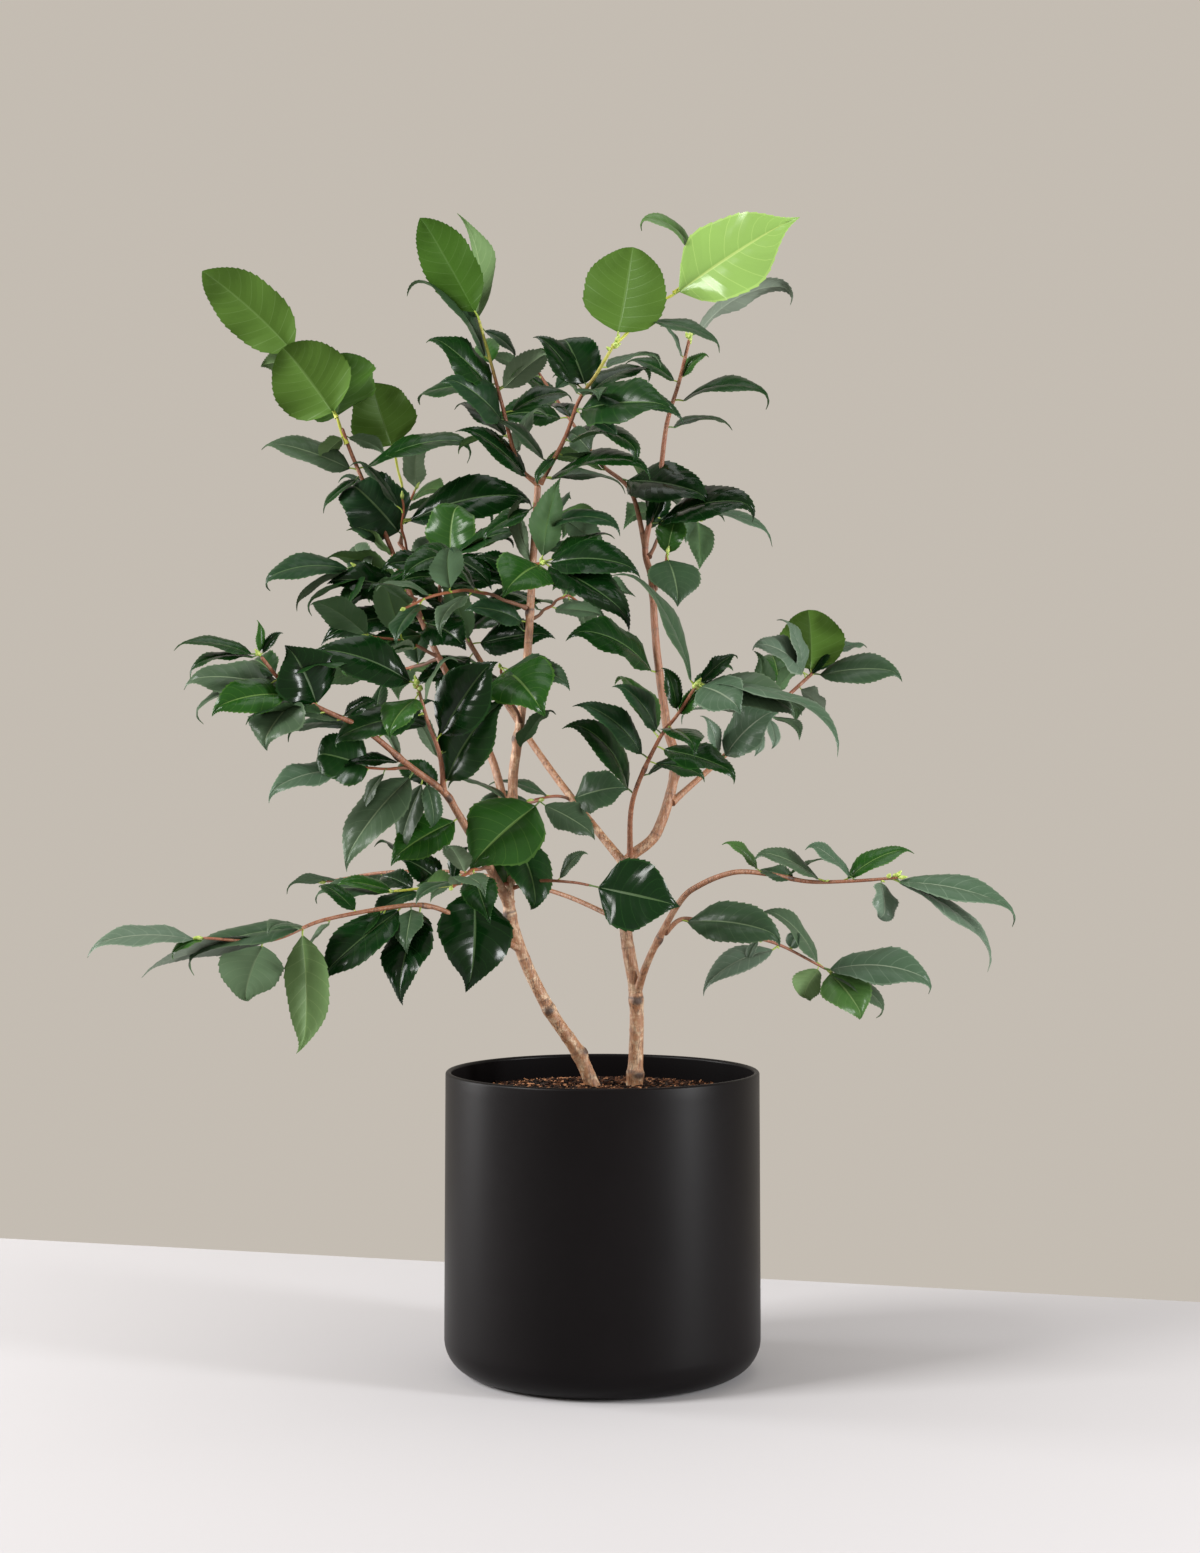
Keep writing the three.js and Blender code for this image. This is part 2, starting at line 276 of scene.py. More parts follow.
@dataclass
class Heap:
    """Grows one joined mesh out of many small ones, all of quads."""

    points: list[Array] = field(default_factory=list)
    quads: list[Array] = field(default_factory=list)
    slots: list[Array] = field(default_factory=list)
    count: int = 0

    def add(self, points: Array, quads: Array, slots: Array | int) -> None:
        """Adds one small mesh.

        Args:
            points: vertices in millimetres.
            quads: four vertex numbers a face.
            slots: material number of each face, or one for all.
        """
        self.points.append(points)
        self.quads.append(quads + self.count)
        self.slots.append(np.broadcast_to(slots, len(quads)))
        self.count += len(points)

    def tube(self, path: Array, radius: Array, sides: int, slot: Array | int,
             relief: Array | float = 0.0) -> None:
        """Adds a closed round tube.

        Args:
            path: its centre line, in millimetres.
            radius: its radius at each point of the path.
            sides: how many sides, an even number.
            slot: material number, or one for each gap between rings.
            relief: extra radius for each ring and side.
        """
        side, up = frames_along(path)
        turn = turns(sides)
        spoke = side[:, None] * np.cos(turn)[None, :, None] + up[:, None] * np.sin(turn)[None, :, None]
        points = (path[:, None] + spoke * (radius[:, None] + relief)[..., None]).reshape(-1, 3)
        rows, end = np.broadcast_to(slot, len(path) - 1), sides // 2 - 1
        slots = np.concatenate([np.repeat(rows, sides), np.full(end, rows[0]), np.full(end, rows[-1])])
        self.add(points, skin(len(path), sides), slots)

    def build(self, name: str, materials: list[Material], slot: str, nodes: tuple[str, ...] = (),
              crease: float = 50.0, values: dict[str, Array] | None = None) -> None:
        """Makes the piece, on the one body, in the place of its CAD nodes.

        Args:
            name: the piece's name.
            materials: in the order of the material numbers.
            slot: the record's material slot, which is not used here.
            nodes: the CAD nodes that it stands for.
            crease: degrees above which an edge shades sharp.
            values: numbers kept on the vertices for its material, by name.
        """
        mesh = bpy.data.meshes.new(name)
        points = np.vstack(self.points) * MM
        quads = np.vstack(self.quads)
        mesh.vertices.add(len(points))
        mesh.vertices.foreach_set("co", points.astype(np.float32).ravel())
        mesh.loops.add(quads.size)
        mesh.loops.foreach_set("vertex_index", quads.astype(np.int32).ravel())
        mesh.polygons.add(len(quads))
        mesh.polygons.foreach_set("loop_start", np.arange(len(quads), dtype=np.int32) * 4)
        mesh.polygons.foreach_set("material_index", np.concatenate(self.slots).astype(np.int32))
        for key, numbers in (values or {}).items():
            kept = mesh.attributes.new(key, "FLOAT", "POINT")
            kept.data.foreach_set("value", numbers.astype(np.float32).ravel())
        mesh.update(calc_edges=True)
        mesh.shade_smooth()
        mesh.set_sharp_from_angle(angle=math.radians(crease))
        for material in materials:
            mesh.materials.append(material)
        piece = bpy.data.objects.new(name, mesh)
        bpy.context.scene.collection.objects.link(piece)
        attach(piece, BODY)
        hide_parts(*nodes)
        log.info("%s: %d faces, stands for %d nodes", name, len(quads), len(nodes))


# ---------------------------------------------------------------- finishes


@dataclass(frozen=True)
class Plain:
    """A finish with one base colour: its gloss is set on the shader itself."""

    name: str
    colour: Colour
    roughness: float
    specular: float = 0.5
    coat: float = 0.0
    coat_roughness: float = 0.16

    def make(self) -> Material:
        """Makes the finish.

        Returns:
            The material.
        """
        material = bpy.data.materials.new(self.name)
        material.use_nodes = True
        sockets = material.node_tree.nodes["Principled BSDF"].inputs
        sockets["Base Color"].default_value = (*self.colour, 1)
        sockets["Roughness"].default_value = self.roughness
        sockets["Specular IOR Level"].default_value = self.specular
        sockets["Coat Weight"].default_value = self.coat
        sockets["Coat Roughness"].default_value = self.coat_roughness
        return material


def dress(finishes: tuple[Plain, ...]) -> list[Material]:
    """The materials of several finishes, in order."""
    return [finish.make() for finish in finishes]


TWIGS = (Plain("twig_brown", (0.17, 0.078, 0.045), 0.6, 0.35),
         Plain("twig_red", (0.235, 0.075, 0.033), 0.5, 0.4),
         Plain("twig_green", (0.43, 0.45, 0.055), 0.42, 0.45))
STALKS = (Plain("stalk_green", (0.27, 0.36, 0.05), 0.42, 0.45),
          Plain("stalk_dull", (0.10, 0.17, 0.045), 0.48, 0.4))
BUDS = (Plain("bud_green", (0.30, 0.42, 0.075), 0.42, 0.45, 0.1),
        Plain("bud_scale", (0.42, 0.50, 0.13), 0.48, 0.4))
CRUMBS = tuple(Plain(f"crumb_{number}", shade, 0.88, 0.2) for number, shade in enumerate((
    (0.006, 0.0025, 0.0015), (0.030, 0.011, 0.006), (0.115, 0.045, 0.021), (0.42, 0.20, 0.10))))


class Nodes:
    """Short hand for building a material's nodes."""

    def __init__(self, name: str, specular: float = 0.5) -> None:
        """Starts a material.

        Args:
            name: its name.
            specular: its gloss.
        """
        self.material = bpy.data.materials.new(name)
        self.material.use_nodes = True
        self.tree = self.material.node_tree
        self.shader = self.tree.nodes["Principled BSDF"]
        self.shader.inputs["Specular IOR Level"].default_value = specular
        self.place = self.add("ShaderNodeTexCoord").outputs["Object"]

    def add(self, kind: str, inputs: dict[str | int, object] | None = None,
            **settings: object) -> bpy.types.Node:
        """Adds a node.

        Args:
            kind: Blender's name for it.
            inputs: a socket or a value for each of its inputs.
            settings: its properties.

        Returns:
            The node.
        """
        node = self.tree.nodes.new(kind)
        for key, value in settings.items():
            setattr(node, key, value)
        for key, value in (inputs or {}).items():
            if isinstance(value, Socket):
                self.tree.links.new(value, node.inputs[key])
            else:
                node.inputs[key].default_value = value
        return node

    def kept(self, name: str) -> Socket:
        """A number kept on the mesh."""
        return self.add("ShaderNodeAttribute", attribute_name=name).outputs["Fac"]

    def noise(self, scale: float, detail: float, rough: float, squash: float = 1.0) -> Socket:
        """A noise pattern's value, from 0 to 1.

        Args:
            scale: its fineness.
            detail: how many octaves it has.
            rough: how strong the fine ones are.
            squash: its scale along Z over that across.

        Returns:
            The value.
        """
        where = self.place
        if squash != 1.0:
            inputs = {"Vector": where, "Scale": (1, 1, squash)}
            where = self.add("ShaderNodeMapping", inputs).outputs["Vector"]
        inputs = {"Vector": where, "Scale": scale, "Detail": detail, "Roughness": rough}
        return self.add("ShaderNodeTexNoise", inputs).outputs["Fac"]

    def ramp(self, value: Socket, stops: tuple[tuple[float, Colour], ...]) -> Socket:
        """Colours dealt out by a value.

        Args:
            value: what deals them out.
            stops: where each colour stands.

        Returns:
            The colour.
        """
        node = self.add("ShaderNodeValToRGB", {"Fac": value})
        band = node.color_ramp.elements
        while len(band) < len(stops):
            band.new(0.5)
        for element, (at, colour) in zip(band, stops):
            element.position, element.color = at, (*colour, 1)
        return node.outputs["Color"]

    def mix(self, share: Socket, a: Socket | Colour, b: Colour) -> Socket:
        """One colour over another."""
        first = a if isinstance(a, Socket) else (*a, 1)
        return self.add("ShaderNodeMix", {0: share, 6: first, 7: (*b, 1)}, data_type="RGBA").outputs[2]

    def span(self, value: Socket, low: float, high: float, to_low: float, to_high: float) -> Socket:
        """A value moved from one range to another."""
        inputs = {"Value": value, "From Min": low, "From Max": high, "To Min": to_low, "To Max": to_high}
        return self.add("ShaderNodeMapRange", inputs).outputs["Result"]

    def times(self, a: Socket, b: Socket) -> Socket:
        """One value times another."""
        return self.add("ShaderNodeMath", {0: a, 1: b}, operation="MULTIPLY").outputs[0]

    def join(self, colour: Socket, roughness: Socket, height: Socket, depth: float,
             strength: float = 1.0) -> Material:
        """Ties colour, roughness and relief to the shader.

        Args:
            colour: base colour.
            roughness: roughness.
            height: relief, from 0 to 1.
            depth: what a height of 1 stands for, in metres.
            strength: share of the relief that shows.

        Returns:
            The material.
        """
        bump = self.add("ShaderNodeBump", {"Height": height, "Distance": depth, "Strength": strength})
        sockets = {"Base Color": colour, "Roughness": roughness, "Normal": bump.outputs["Normal"]}
        for key, value in sockets.items():
            self.tree.links.new(value, self.shader.inputs[key])
        return self.material


@dataclass(frozen=True)
class PotFinish:
    """Satin black: a very fine tooth, with faint cloudiness in its sheen."""

    body: Colour = (0.0024, 0.0017, 0.0020)
    worn: Colour = (0.0040, 0.0030, 0.0034)

    def make(self) -> list[Material]:
        """Makes the finish.

        Returns:
            The materials of the outside and the inside.
        """
        n = Nodes("pot_satin_black", 0.11)
        cloud, tooth = n.noise(9, 4, 0.55, 0.6), n.noise(1400, 2, 0.6)
        colour = n.mix(n.span(cloud, 0.35, 0.7, 0, 1), self.body, self.worn)
        outside = n.join(colour, n.span(cloud, 0.3, 0.7, 0.36, 0.44), tooth, 0.00004, 0.5)
        return [outside, Plain("pot_inside", self.body, 0.7, 0.06).make()]


@dataclass(frozen=True)
class SoilFinish:
    """Moist bark and peat: brown crumbs of many shades."""

    dark: Colour = (0.010, 0.0045, 0.003)
    mid: Colour = (0.030, 0.013, 0.007)
    light: Colour = (0.085, 0.038, 0.019)

    def make(self) -> Material:
        """Makes the finish.

        Returns:
            The material.
        """
        n = Nodes("soil_crumb")
        patch, grain = n.noise(260, 4, 0.7), n.noise(1500, 3, 0.7)
        colour = n.ramp(patch, ((0.34, self.dark), (0.52, self.mid), (0.72, self.light)))
        return n.join(colour, n.span(grain, 0.3, 0.7, 0.75, 0.98), grain, 0.0008)


@dataclass(frozen=True)
class BarkFinish:
    """Smooth camellia bark: tan on old stems, brown on boughs, red and then green on new wood."""

    pale: Colour = (0.80, 0.61, 0.41)
    tan: Colour = (0.42, 0.205, 0.100)
    brown: Colour = (0.285, 0.125, 0.060)
    red: Colour = (0.23, 0.072, 0.030)
    green: Colour = (0.40, 0.41, 0.06)
    dark: Colour = (0.050, 0.026, 0.017)
    grey: Colour = (0.36, 0.30, 0.25)

    def make(self) -> Material:
        """Makes the finish, from the age and the knots kept on each limb.

        Returns:
            The material.
        """
        n = Nodes("bark", 0.55)
        age, knot = n.kept("age"), n.kept("knot")
        colour = n.ramp(age, ((0.0, self.tan), (0.35, self.brown), (0.62, self.red), (0.80, self.red),
                              (0.90, self.green)))
        streak, patch = n.noise(620, 6, 0.66, 0.14), n.noise(170, 5, 0.68)
        fleck, blotch = n.noise(1500, 2, 0.5, 0.6), n.noise(60, 3, 0.6)
        lit = n.times(n.span(patch, 0.48, 0.62, 0, 0.85), n.span(age, 0.0, 0.4, 1.0, 0.12))
        worn = n.times(n.span(blotch, 0.44, 0.62, 0, 0.55), n.span(age, 0.0, 0.7, 1.0, 0.5))
        cracked = n.times(n.span(streak, 0.53, 0.63, 0, 0.75), n.span(age, 0.0, 1.0, 1.0, 0.45))
        for share, over in ((lit, self.pale), (worn, self.brown), (cracked, self.dark),
                            (n.span(fleck, 0.65, 0.71, 0, 0.45), self.grey),
                            (n.span(knot, 0.12, 0.72, 0, 0.93), self.dark)):
            colour = n.mix(share, colour, over)
        return n.join(colour, n.span(streak, 0.3, 0.7, 0.34, 0.60), streak, 0.0009, 0.9)


BLADE, VEIN, BACK, RIB = range(4)


@dataclass(frozen=True)
class LeafPaint:
    """The plain colours of one shade of leaf: blade, veins, underside and the rib under it."""

    blade: Colour
    vein: Colour
    back: Colour
    rib: Colour
    roughness: float = 0.34
    coat: float = 0.08
    specular: float = 0.11

    def make(self, name: str) -> list[Material]:
        """The materials of its four parts."""
        return dress((
            Plain(f"{name}_blade", self.blade, self.roughness, self.specular, self.coat),
            Plain(f"{name}_vein", self.vein, self.roughness + 0.05, self.specular, self.coat),
            Plain(f"{name}_back", self.back, 0.6, 0.10),
            Plain(f"{name}_rib", self.rib, 0.5, 0.3)))


def shade(roughness: float, coat: float, *parts: Colour) -> LeafPaint:
    """One shade, from the colours of its four parts in thousandths."""
    return LeafPaint(*(tuple(part / 1000 for part in colour) for colour in parts), roughness, coat)


SHADES: dict[Tint, tuple[LeafPaint, ...]] = {
    DEEP: (
        shade(0.19, 0.16, (2.1, 14, 2.3), (6, 28, 5), (36, 74, 30), (34, 72, 20)),
        shade(0.21, 0.128, (3.2, 18.5, 3.6), (9, 36, 7), (42, 84, 35), (40, 82, 24))),
    DARK: (
        shade(0.27, 0.08, (4.8, 26, 4), (13, 48, 8), (56, 112, 44), (50, 105, 26)),
        shade(0.29, 0.08, (7.8, 32, 7), (18, 56, 11), (64, 122, 52), (58, 115, 32)),
        shade(0.34, 0.08, (10.5, 34, 12.5), (22, 60, 20), (70, 122, 64), (60, 110, 40))),
    MID: (
        shade(0.26, 0.112, (13, 56, 7), (34, 95, 12), (72, 145, 44), (82, 160, 30)),
        shade(0.28, 0.096, (20, 70, 11), (44, 110, 19), (82, 160, 52), (96, 180, 40))),
    # grey-green blades, lightened in part as painted sheen
    GREY_AND_SHEEN: (
        shade(0.36, 0.08, (30, 60, 29), (52, 90, 44), (90, 145, 76), (105, 160, 80)),
        shade(0.4, 0.08, (44, 76, 40), (68, 108, 58), (115, 165, 96), (130, 180, 100))),
    # all four parts pale: painted sheen laid over a dark green leaf
    MIST: (
        shade(0.4, 0.08, (50, 90, 52), (100, 150, 98), (135, 175, 125), (155, 200, 135)),
        shade(0.44, 0.08, (80, 122, 82), (145, 190, 138), (155, 190, 145), (175, 215, 155))),
    SOFT: (
        shade(0.36, 0.08, (46, 108, 26), (75, 150, 40), (95, 165, 58), (120, 195, 64)),
        shade(0.38, 0.08, (60, 125, 34), (92, 172, 50), (110, 178, 70), (135, 208, 76))),
    FRESH: (
        shade(0.36, 0.064, (38, 104, 10), (52, 128, 15), (39, 100, 10), (50, 120, 14)),
        shade(0.38, 0.064, (66, 145, 20), (86, 174, 28), (68, 140, 20), (86, 168, 28))),
    BRIGHT: (
        shade(0.26, 0.192, (215, 365, 88), (280, 440, 115), (210, 350, 85), (330, 470, 120)),),
}


@dataclass
class Paintbox:
    """All the leaf shades as one list of materials."""

    materials: list[Material] = field(default_factory=list)
    first: dict[Tint, list[int]] = field(default_factory=dict)

    def __post_init__(self) -> None:
        """Makes every shade's four materials."""
        for tint, paints in SHADES.items():
            self.first[tint] = []
            for number, paint in enumerate(paints):
                self.first[tint].append(len(self.materials))
                self.materials += paint.make(f"leaf_{tint.value}_{number}")

    def pick(self, tint: Tint, chance: float) -> int:
        """The material number of the blade of one shade of that tint."""
        choices = self.first[tint]
        return choices[int(chance * len(choices)) % len(choices)]


# ---------------------------------------------------------------- leaves


@dataclass(frozen=True)
class Leaf:
    """One leaf as it sits on its shoot, told as seen from the front.

    Args:
        at: share of the shoot's length where it grows.
        angle: where its tip points, in degrees: 0 right, 90 up, 180 left, 270 down.
        forward: degrees that it comes towards the front, or goes back if negative.
        length: blade length from base to tip, in millimetres.
        turn: 0 shows its upper face to the front, 90 its edge with that face up, 180 its underside.
        tint: colour family, or None for the shoot's own.
        breadth: full breadth over length, or 0 for a usual one.
        curl: how much more than usual it bends down to its tip.
        form: outline.
    """

    at: float
    angle: float
    forward: float
    length: float
    turn: float = 45
    tint: Tint | None = None
    breadth: float = 0
    curl: float = 1.0
    form: Form = OVAL

    def way(self) -> Array:
        """Unit vector from base to tip."""
        a, f = math.radians(self.angle), math.radians(self.forward)
        return np.array([math.cos(a) * math.cos(f), -math.sin(f), math.sin(a) * math.cos(f)])

    def face(self) -> Array:
        """Unit normal of its upper face."""
        t, (toward, across) = math.radians(self.turn), facing(self.way())
        return toward * math.cos(t) + across * math.sin(t)


def leaves(*rows: tuple) -> tuple[Leaf, ...]:
    """Leaves from rows of their values."""
    return tuple(Leaf(*row) for row in rows)


@dataclass
class Blade:
    """Builds leaf meshes: thin closed shells with toothed margins, veins and a keel.

    Teeth, thickness, quilting, groove and ridge are in millimetres, the ridge and the groove with their
    width as a share of the half-breadth, and the rest in shares of the leaf or in radians.
    """

    veins: int = 8
    vein_half: float = 0.0024
    vein_span: Pair = (0.07, 0.83)
    foot: tuple[float, ...] = (0.0, 0.022, 0.045)
    tail: tuple[float, ...] = (0.935, 0.941, 0.968, 0.986, 1.0)
    across: tuple[float, ...] = (0.0, 0.034, 0.21, 0.45, 0.72, 0.955, 1.0)
    slant: float = 0.17
    tooth: float = 1.05
    thickness: float = 0.34
    quilting: float = 0.42
    groove: Pair = (0.45, 0.07)
    ridge: Pair = (0.95, 0.06)
    breadth: Pair = (0.40, 0.50)
    droop: Pair = (0.5, 1.05)
    hook: Pair = (0.5, 1.4)
    bend: float = 0.22
    twist: float = 0.42
    keel: Pair = (0.16, 0.36)
    wave: Pair = (0.03, 0.085)
    beats: Pair = (1.3, 2.4)
    samples: int = 61

    def __post_init__(self) -> None:
        """Lays out the grid that every leaf shares: rows along the blade, columns across it."""
        self.fine = np.linspace(0, 1, self.samples)
        self.outlines = {form: self.outline(form) for form in Form}
        self.vein_at = np.linspace(*self.vein_span, self.veins)
        self.gap = self.vein_at[1] - self.vein_at[0]
        rows, teeth, veined = list(self.foot), [0, 0, 0.2], [False] * len(self.foot)
        for start in self.vein_at:
            for middle in (start, start + self.gap / 2):
                rows += [middle - self.vein_half, middle + self.vein_half]
            teeth += [1.0, 0.0, 1.0, 0.0]
            veined += [True, False, False, False]
        self.rows = np.array([*rows, *self.tail])
        self.teeth = np.array([*teeth, 0.7, 0.0, 0.2, 0.0, 0.0])
        half = np.array(self.across)
        self.w = np.concatenate([-half[:0:-1], half])
        n, m = len(self.rows), len(self.w)
        numbers = np.arange(n * m)
        self.inner = (numbers % m > 0) & (numbers % m < m - 1) & (numbers >= m) & (numbers < (n - 1) * m)
        self.faces, self.parts = self.shell(n, m, np.array(veined + [False] * len(self.tail)))

    def shell(self, rows: int, columns: int, veined: Array) -> tuple[Array, Array]:
        """Faces of the two layers, which share the vertices of the margin.

        Args:
            rows: how many rows of vertices.
            columns: vertices in a row.
            veined: whether a side vein runs between a row and the next.

        Returns:
            Four vertex numbers a face, and the part of the leaf that it belongs to.
        """
        under = np.arange(rows * columns)
        under[self.inner] = rows * columns + np.arange(self.inner.sum())
        top = np.roll(grid(rows, columns, False), -1, axis=1)
        # the layers split along the same diagonals, so that they never cross
        bottom = np.roll(under[top][:, ::-1], 1, axis=1)
        i, j = np.divmod(np.arange(len(top)), columns - 1)
        off_rib = np.abs(self.w[j] + self.w[j + 1]) / 2
        on_rib, on_margin = off_rib < 0.04, off_rib > 0.95
        on_vein = veined[i] & (off_rib < 0.85)
        upper = np.where(on_rib, RIB, np.where(on_vein | on_margin, VEIN, BLADE))
        lower = np.where(on_rib | on_vein, RIB, BACK)
        return np.vstack([top, bottom]), np.concatenate([upper, lower])

    def outline(self, form: Form) -> Array:
        """A smooth outline through a form's stations.

        Args:
            form: the outline's form.

        Returns:
            Half-breadth at each fine sample along the leaf.
        """
        t, h = np.array(form.value).T
        slope = np.gradient(h, t)
        slope[0], slope[-1] = (h[1] - h[0]) / (t[1] - t[0]), (h[-1] - h[-2]) / (t[-1] - t[-2])
        i = np.clip(np.searchsorted(t, self.fine, side="right") - 1, 0, len(t) - 2)
        gap = t[i + 1] - t[i]
        x = (self.fine - t[i]) / gap
        a, b = (2 * x ** 3 - 3 * x ** 2 + 1), (-2 * x ** 3 + 3 * x ** 2)
        c, d = (x ** 3 - 2 * x ** 2 + x) * gap, (x ** 3 - x ** 2) * gap
        return np.clip(a * h[i] + b * h[i + 1] + c * slope[i] + d * slope[i + 1], 0, None)

    def spine(self, droop: float, hook: float, bend: float, twist: float) -> tuple[Array, Array, Array]:
        """The midrib's line, in a frame with X along the leaf and Z its upper face.

        Args:
            droop: how far it bends down on its way, in radians.
            hook: how far its tip bends down besides.
            bend: how far it bends sideways.
            twist: how far the blade turns about it.

        Returns:
            Points, and the side and up vectors of the blade at each.
        """
        t = self.fine
        pitch = -droop * t ** 1.3 - hook * smooth((t - 0.72) / 0.28)
        yaw = bend * t
        way = np.stack([np.cos(pitch) * np.cos(yaw), np.cos(pitch) * np.sin(yaw), np.sin(pitch)], 1)
        up = np.stack([-np.sin(pitch) * np.cos(yaw), -np.sin(pitch) * np.sin(yaw), np.cos(pitch)], 1)
        side, roll = np.cross(up, way), (twist * t)[:, None]
        up, side = up * np.cos(roll) + side * np.sin(roll), side * np.cos(roll) - up * np.sin(roll)
        points = np.vstack([[0, 0, 0], np.cumsum((way[1:] + way[:-1]) / 2, 0) / (len(t) - 1)])
        return points, side, up

    def grow(self, leaf: Leaf, base: Array, chance: Chance) -> Array:
        """Vertices of one leaf.

        Args:
            leaf: how it sits.
            base: where its blade starts, in millimetres.
            chance: the shoot's own random numbers.

        Returns:
            Vertices in millimetres, upper layer first.
        """
        size = leaf.length
        broad = leaf.breadth or chance.uniform(*self.breadth)
        droop, hook = leaf.curl * chance.uniform(*self.droop), leaf.curl * chance.uniform(*self.hook)
        bend, twist = chance.uniform(-self.bend, self.bend), chance.uniform(-self.twist, self.twist)
        rib, side, up = self.spine(droop, hook, bend, twist)
        keel, wave = chance.uniform(*self.keel), chance.uniform(*self.wave)
        beats, phase = chance.uniform(*self.beats), chance.uniform(0, LAP, 2)
        # rows lean forward along the side veins
        s, w = np.meshgrid(self.rows, self.w, indexing="ij")
        u = np.abs(w)
        along = s + self.slant * u ** 1.25 * np.sin(math.pi * s) * (0.6 + 0.4 * broad / 0.45)
        half = np.interp(along, self.fine, self.outlines[leaf.form]) * broad / 2
        edge = np.clip((u - self.across[-2]) / (1 - self.across[-2]), 0, 1)
        bite = self.tooth / size * np.sin(math.pi * np.clip(along, 0, 1)) ** 0.3
        half = half + edge * self.teeth[:, None] * bite
        # the keel, the waves of each half, and the swelling between side veins
        lift = keel * half * (u - 0.85 * u ** 3)
        lift += wave * u ** 2 * half * 2 * np.sin(beats * LAP * along + np.where(w > 0, *phase))
        between = np.clip((s - self.vein_at[0]) / self.gap, 0, self.veins) % 1.0
        quilt = np.sin(math.pi * between) ** 0.7 * smooth(u / 0.2) * (1 - u ** 3)
        lift = lift + (self.quilting * quilt) / size * min(size / 70, 1.3)
        groove = self.groove[0] * hill(u, self.groove[1]) * (1 - s) ** 0.3 / size
        ridge = self.ridge[0] * hill(u, self.ridge[1]) * (1 - s) ** 0.5
        ridge = (ridge + self.thickness * (1 - u ** 6)) / size
        flat = read_off(along, self.fine, rib) + read_off(along, self.fine, side) * (w * half)[..., None]
        normal = read_off(along, self.fine, up)
        top, low = (flat + normal * (lift - sunk)[..., None] for sunk in (groove, ridge))
        points = np.vstack([top.reshape(-1, 3), low.reshape(-1, 3)[self.inner]])
        # the straight line from base to tip goes along the leaf's way
        own, world = axes(unit(rib[-1]), up[self.samples // 2]), axes(leaf.way(), leaf.face())
        return base + (points @ own.T @ world) * size / np.linalg.norm(rib[-1])


# ---------------------------------------------------------------- the plant's plan


@dataclass(frozen=True)
class Limb:
    """A stem or bough with bark: its whole line from the ground or fork to the tip of its wood.

    Args:
        route: points along it.
        radii: radius at the root end and the outer end.
        age: 0 for old tan wood to 1 for new green wood, at both ends.
        nodes: the CAD nodes that it stands for.
        knots: shares of the length where old twigs left a swelling.
    """

    route: tuple[Point, ...]
    radii: Pair
    age: Pair
    nodes: tuple[str, ...]
    knots: tuple[float, ...] = ()


@dataclass(frozen=True)
class Shoot:
    """A leafy stretch: leaves set out one by one where they shape the crown, and grown by rule elsewhere.

    Args:
        name: plain name.
        group: the leaf piece that its leaves belong to.
        leaves: leaves with a set place.
        on: the limb it runs along, or "" if it has a twig of its own.
        route: its twig's points; on a limb, left empty.
        span: the shares of the line between which leaves grow by rule.
        grown: number of leaves grown by rule.
        lean: mean direction of the grown leaves.
        tint: colour family of its leaves.
        size: mean length of the grown leaves.
        radii: radius of its own twig at both ends.
        age: of its own twig, at both ends.
        bud: what it ends in.
        seed: its own random numbers.
    """

    name: str
    group: str
    leaves: tuple[Leaf, ...] = ()
    on: str = ""
    route: tuple[Point, ...] = ()
    span: Pair = (0.25, 1.0)
    grown: int = 0
    lean: Point = (0.0, 0.0, 0.3)
    tint: Tint = DARK
    size: float = 62
    radii: Pair = (1.5, 0.9)
    age: Pair = (0.6, 0.8)
    bud: Bud = Bud.LEAF
    seed: int = 1


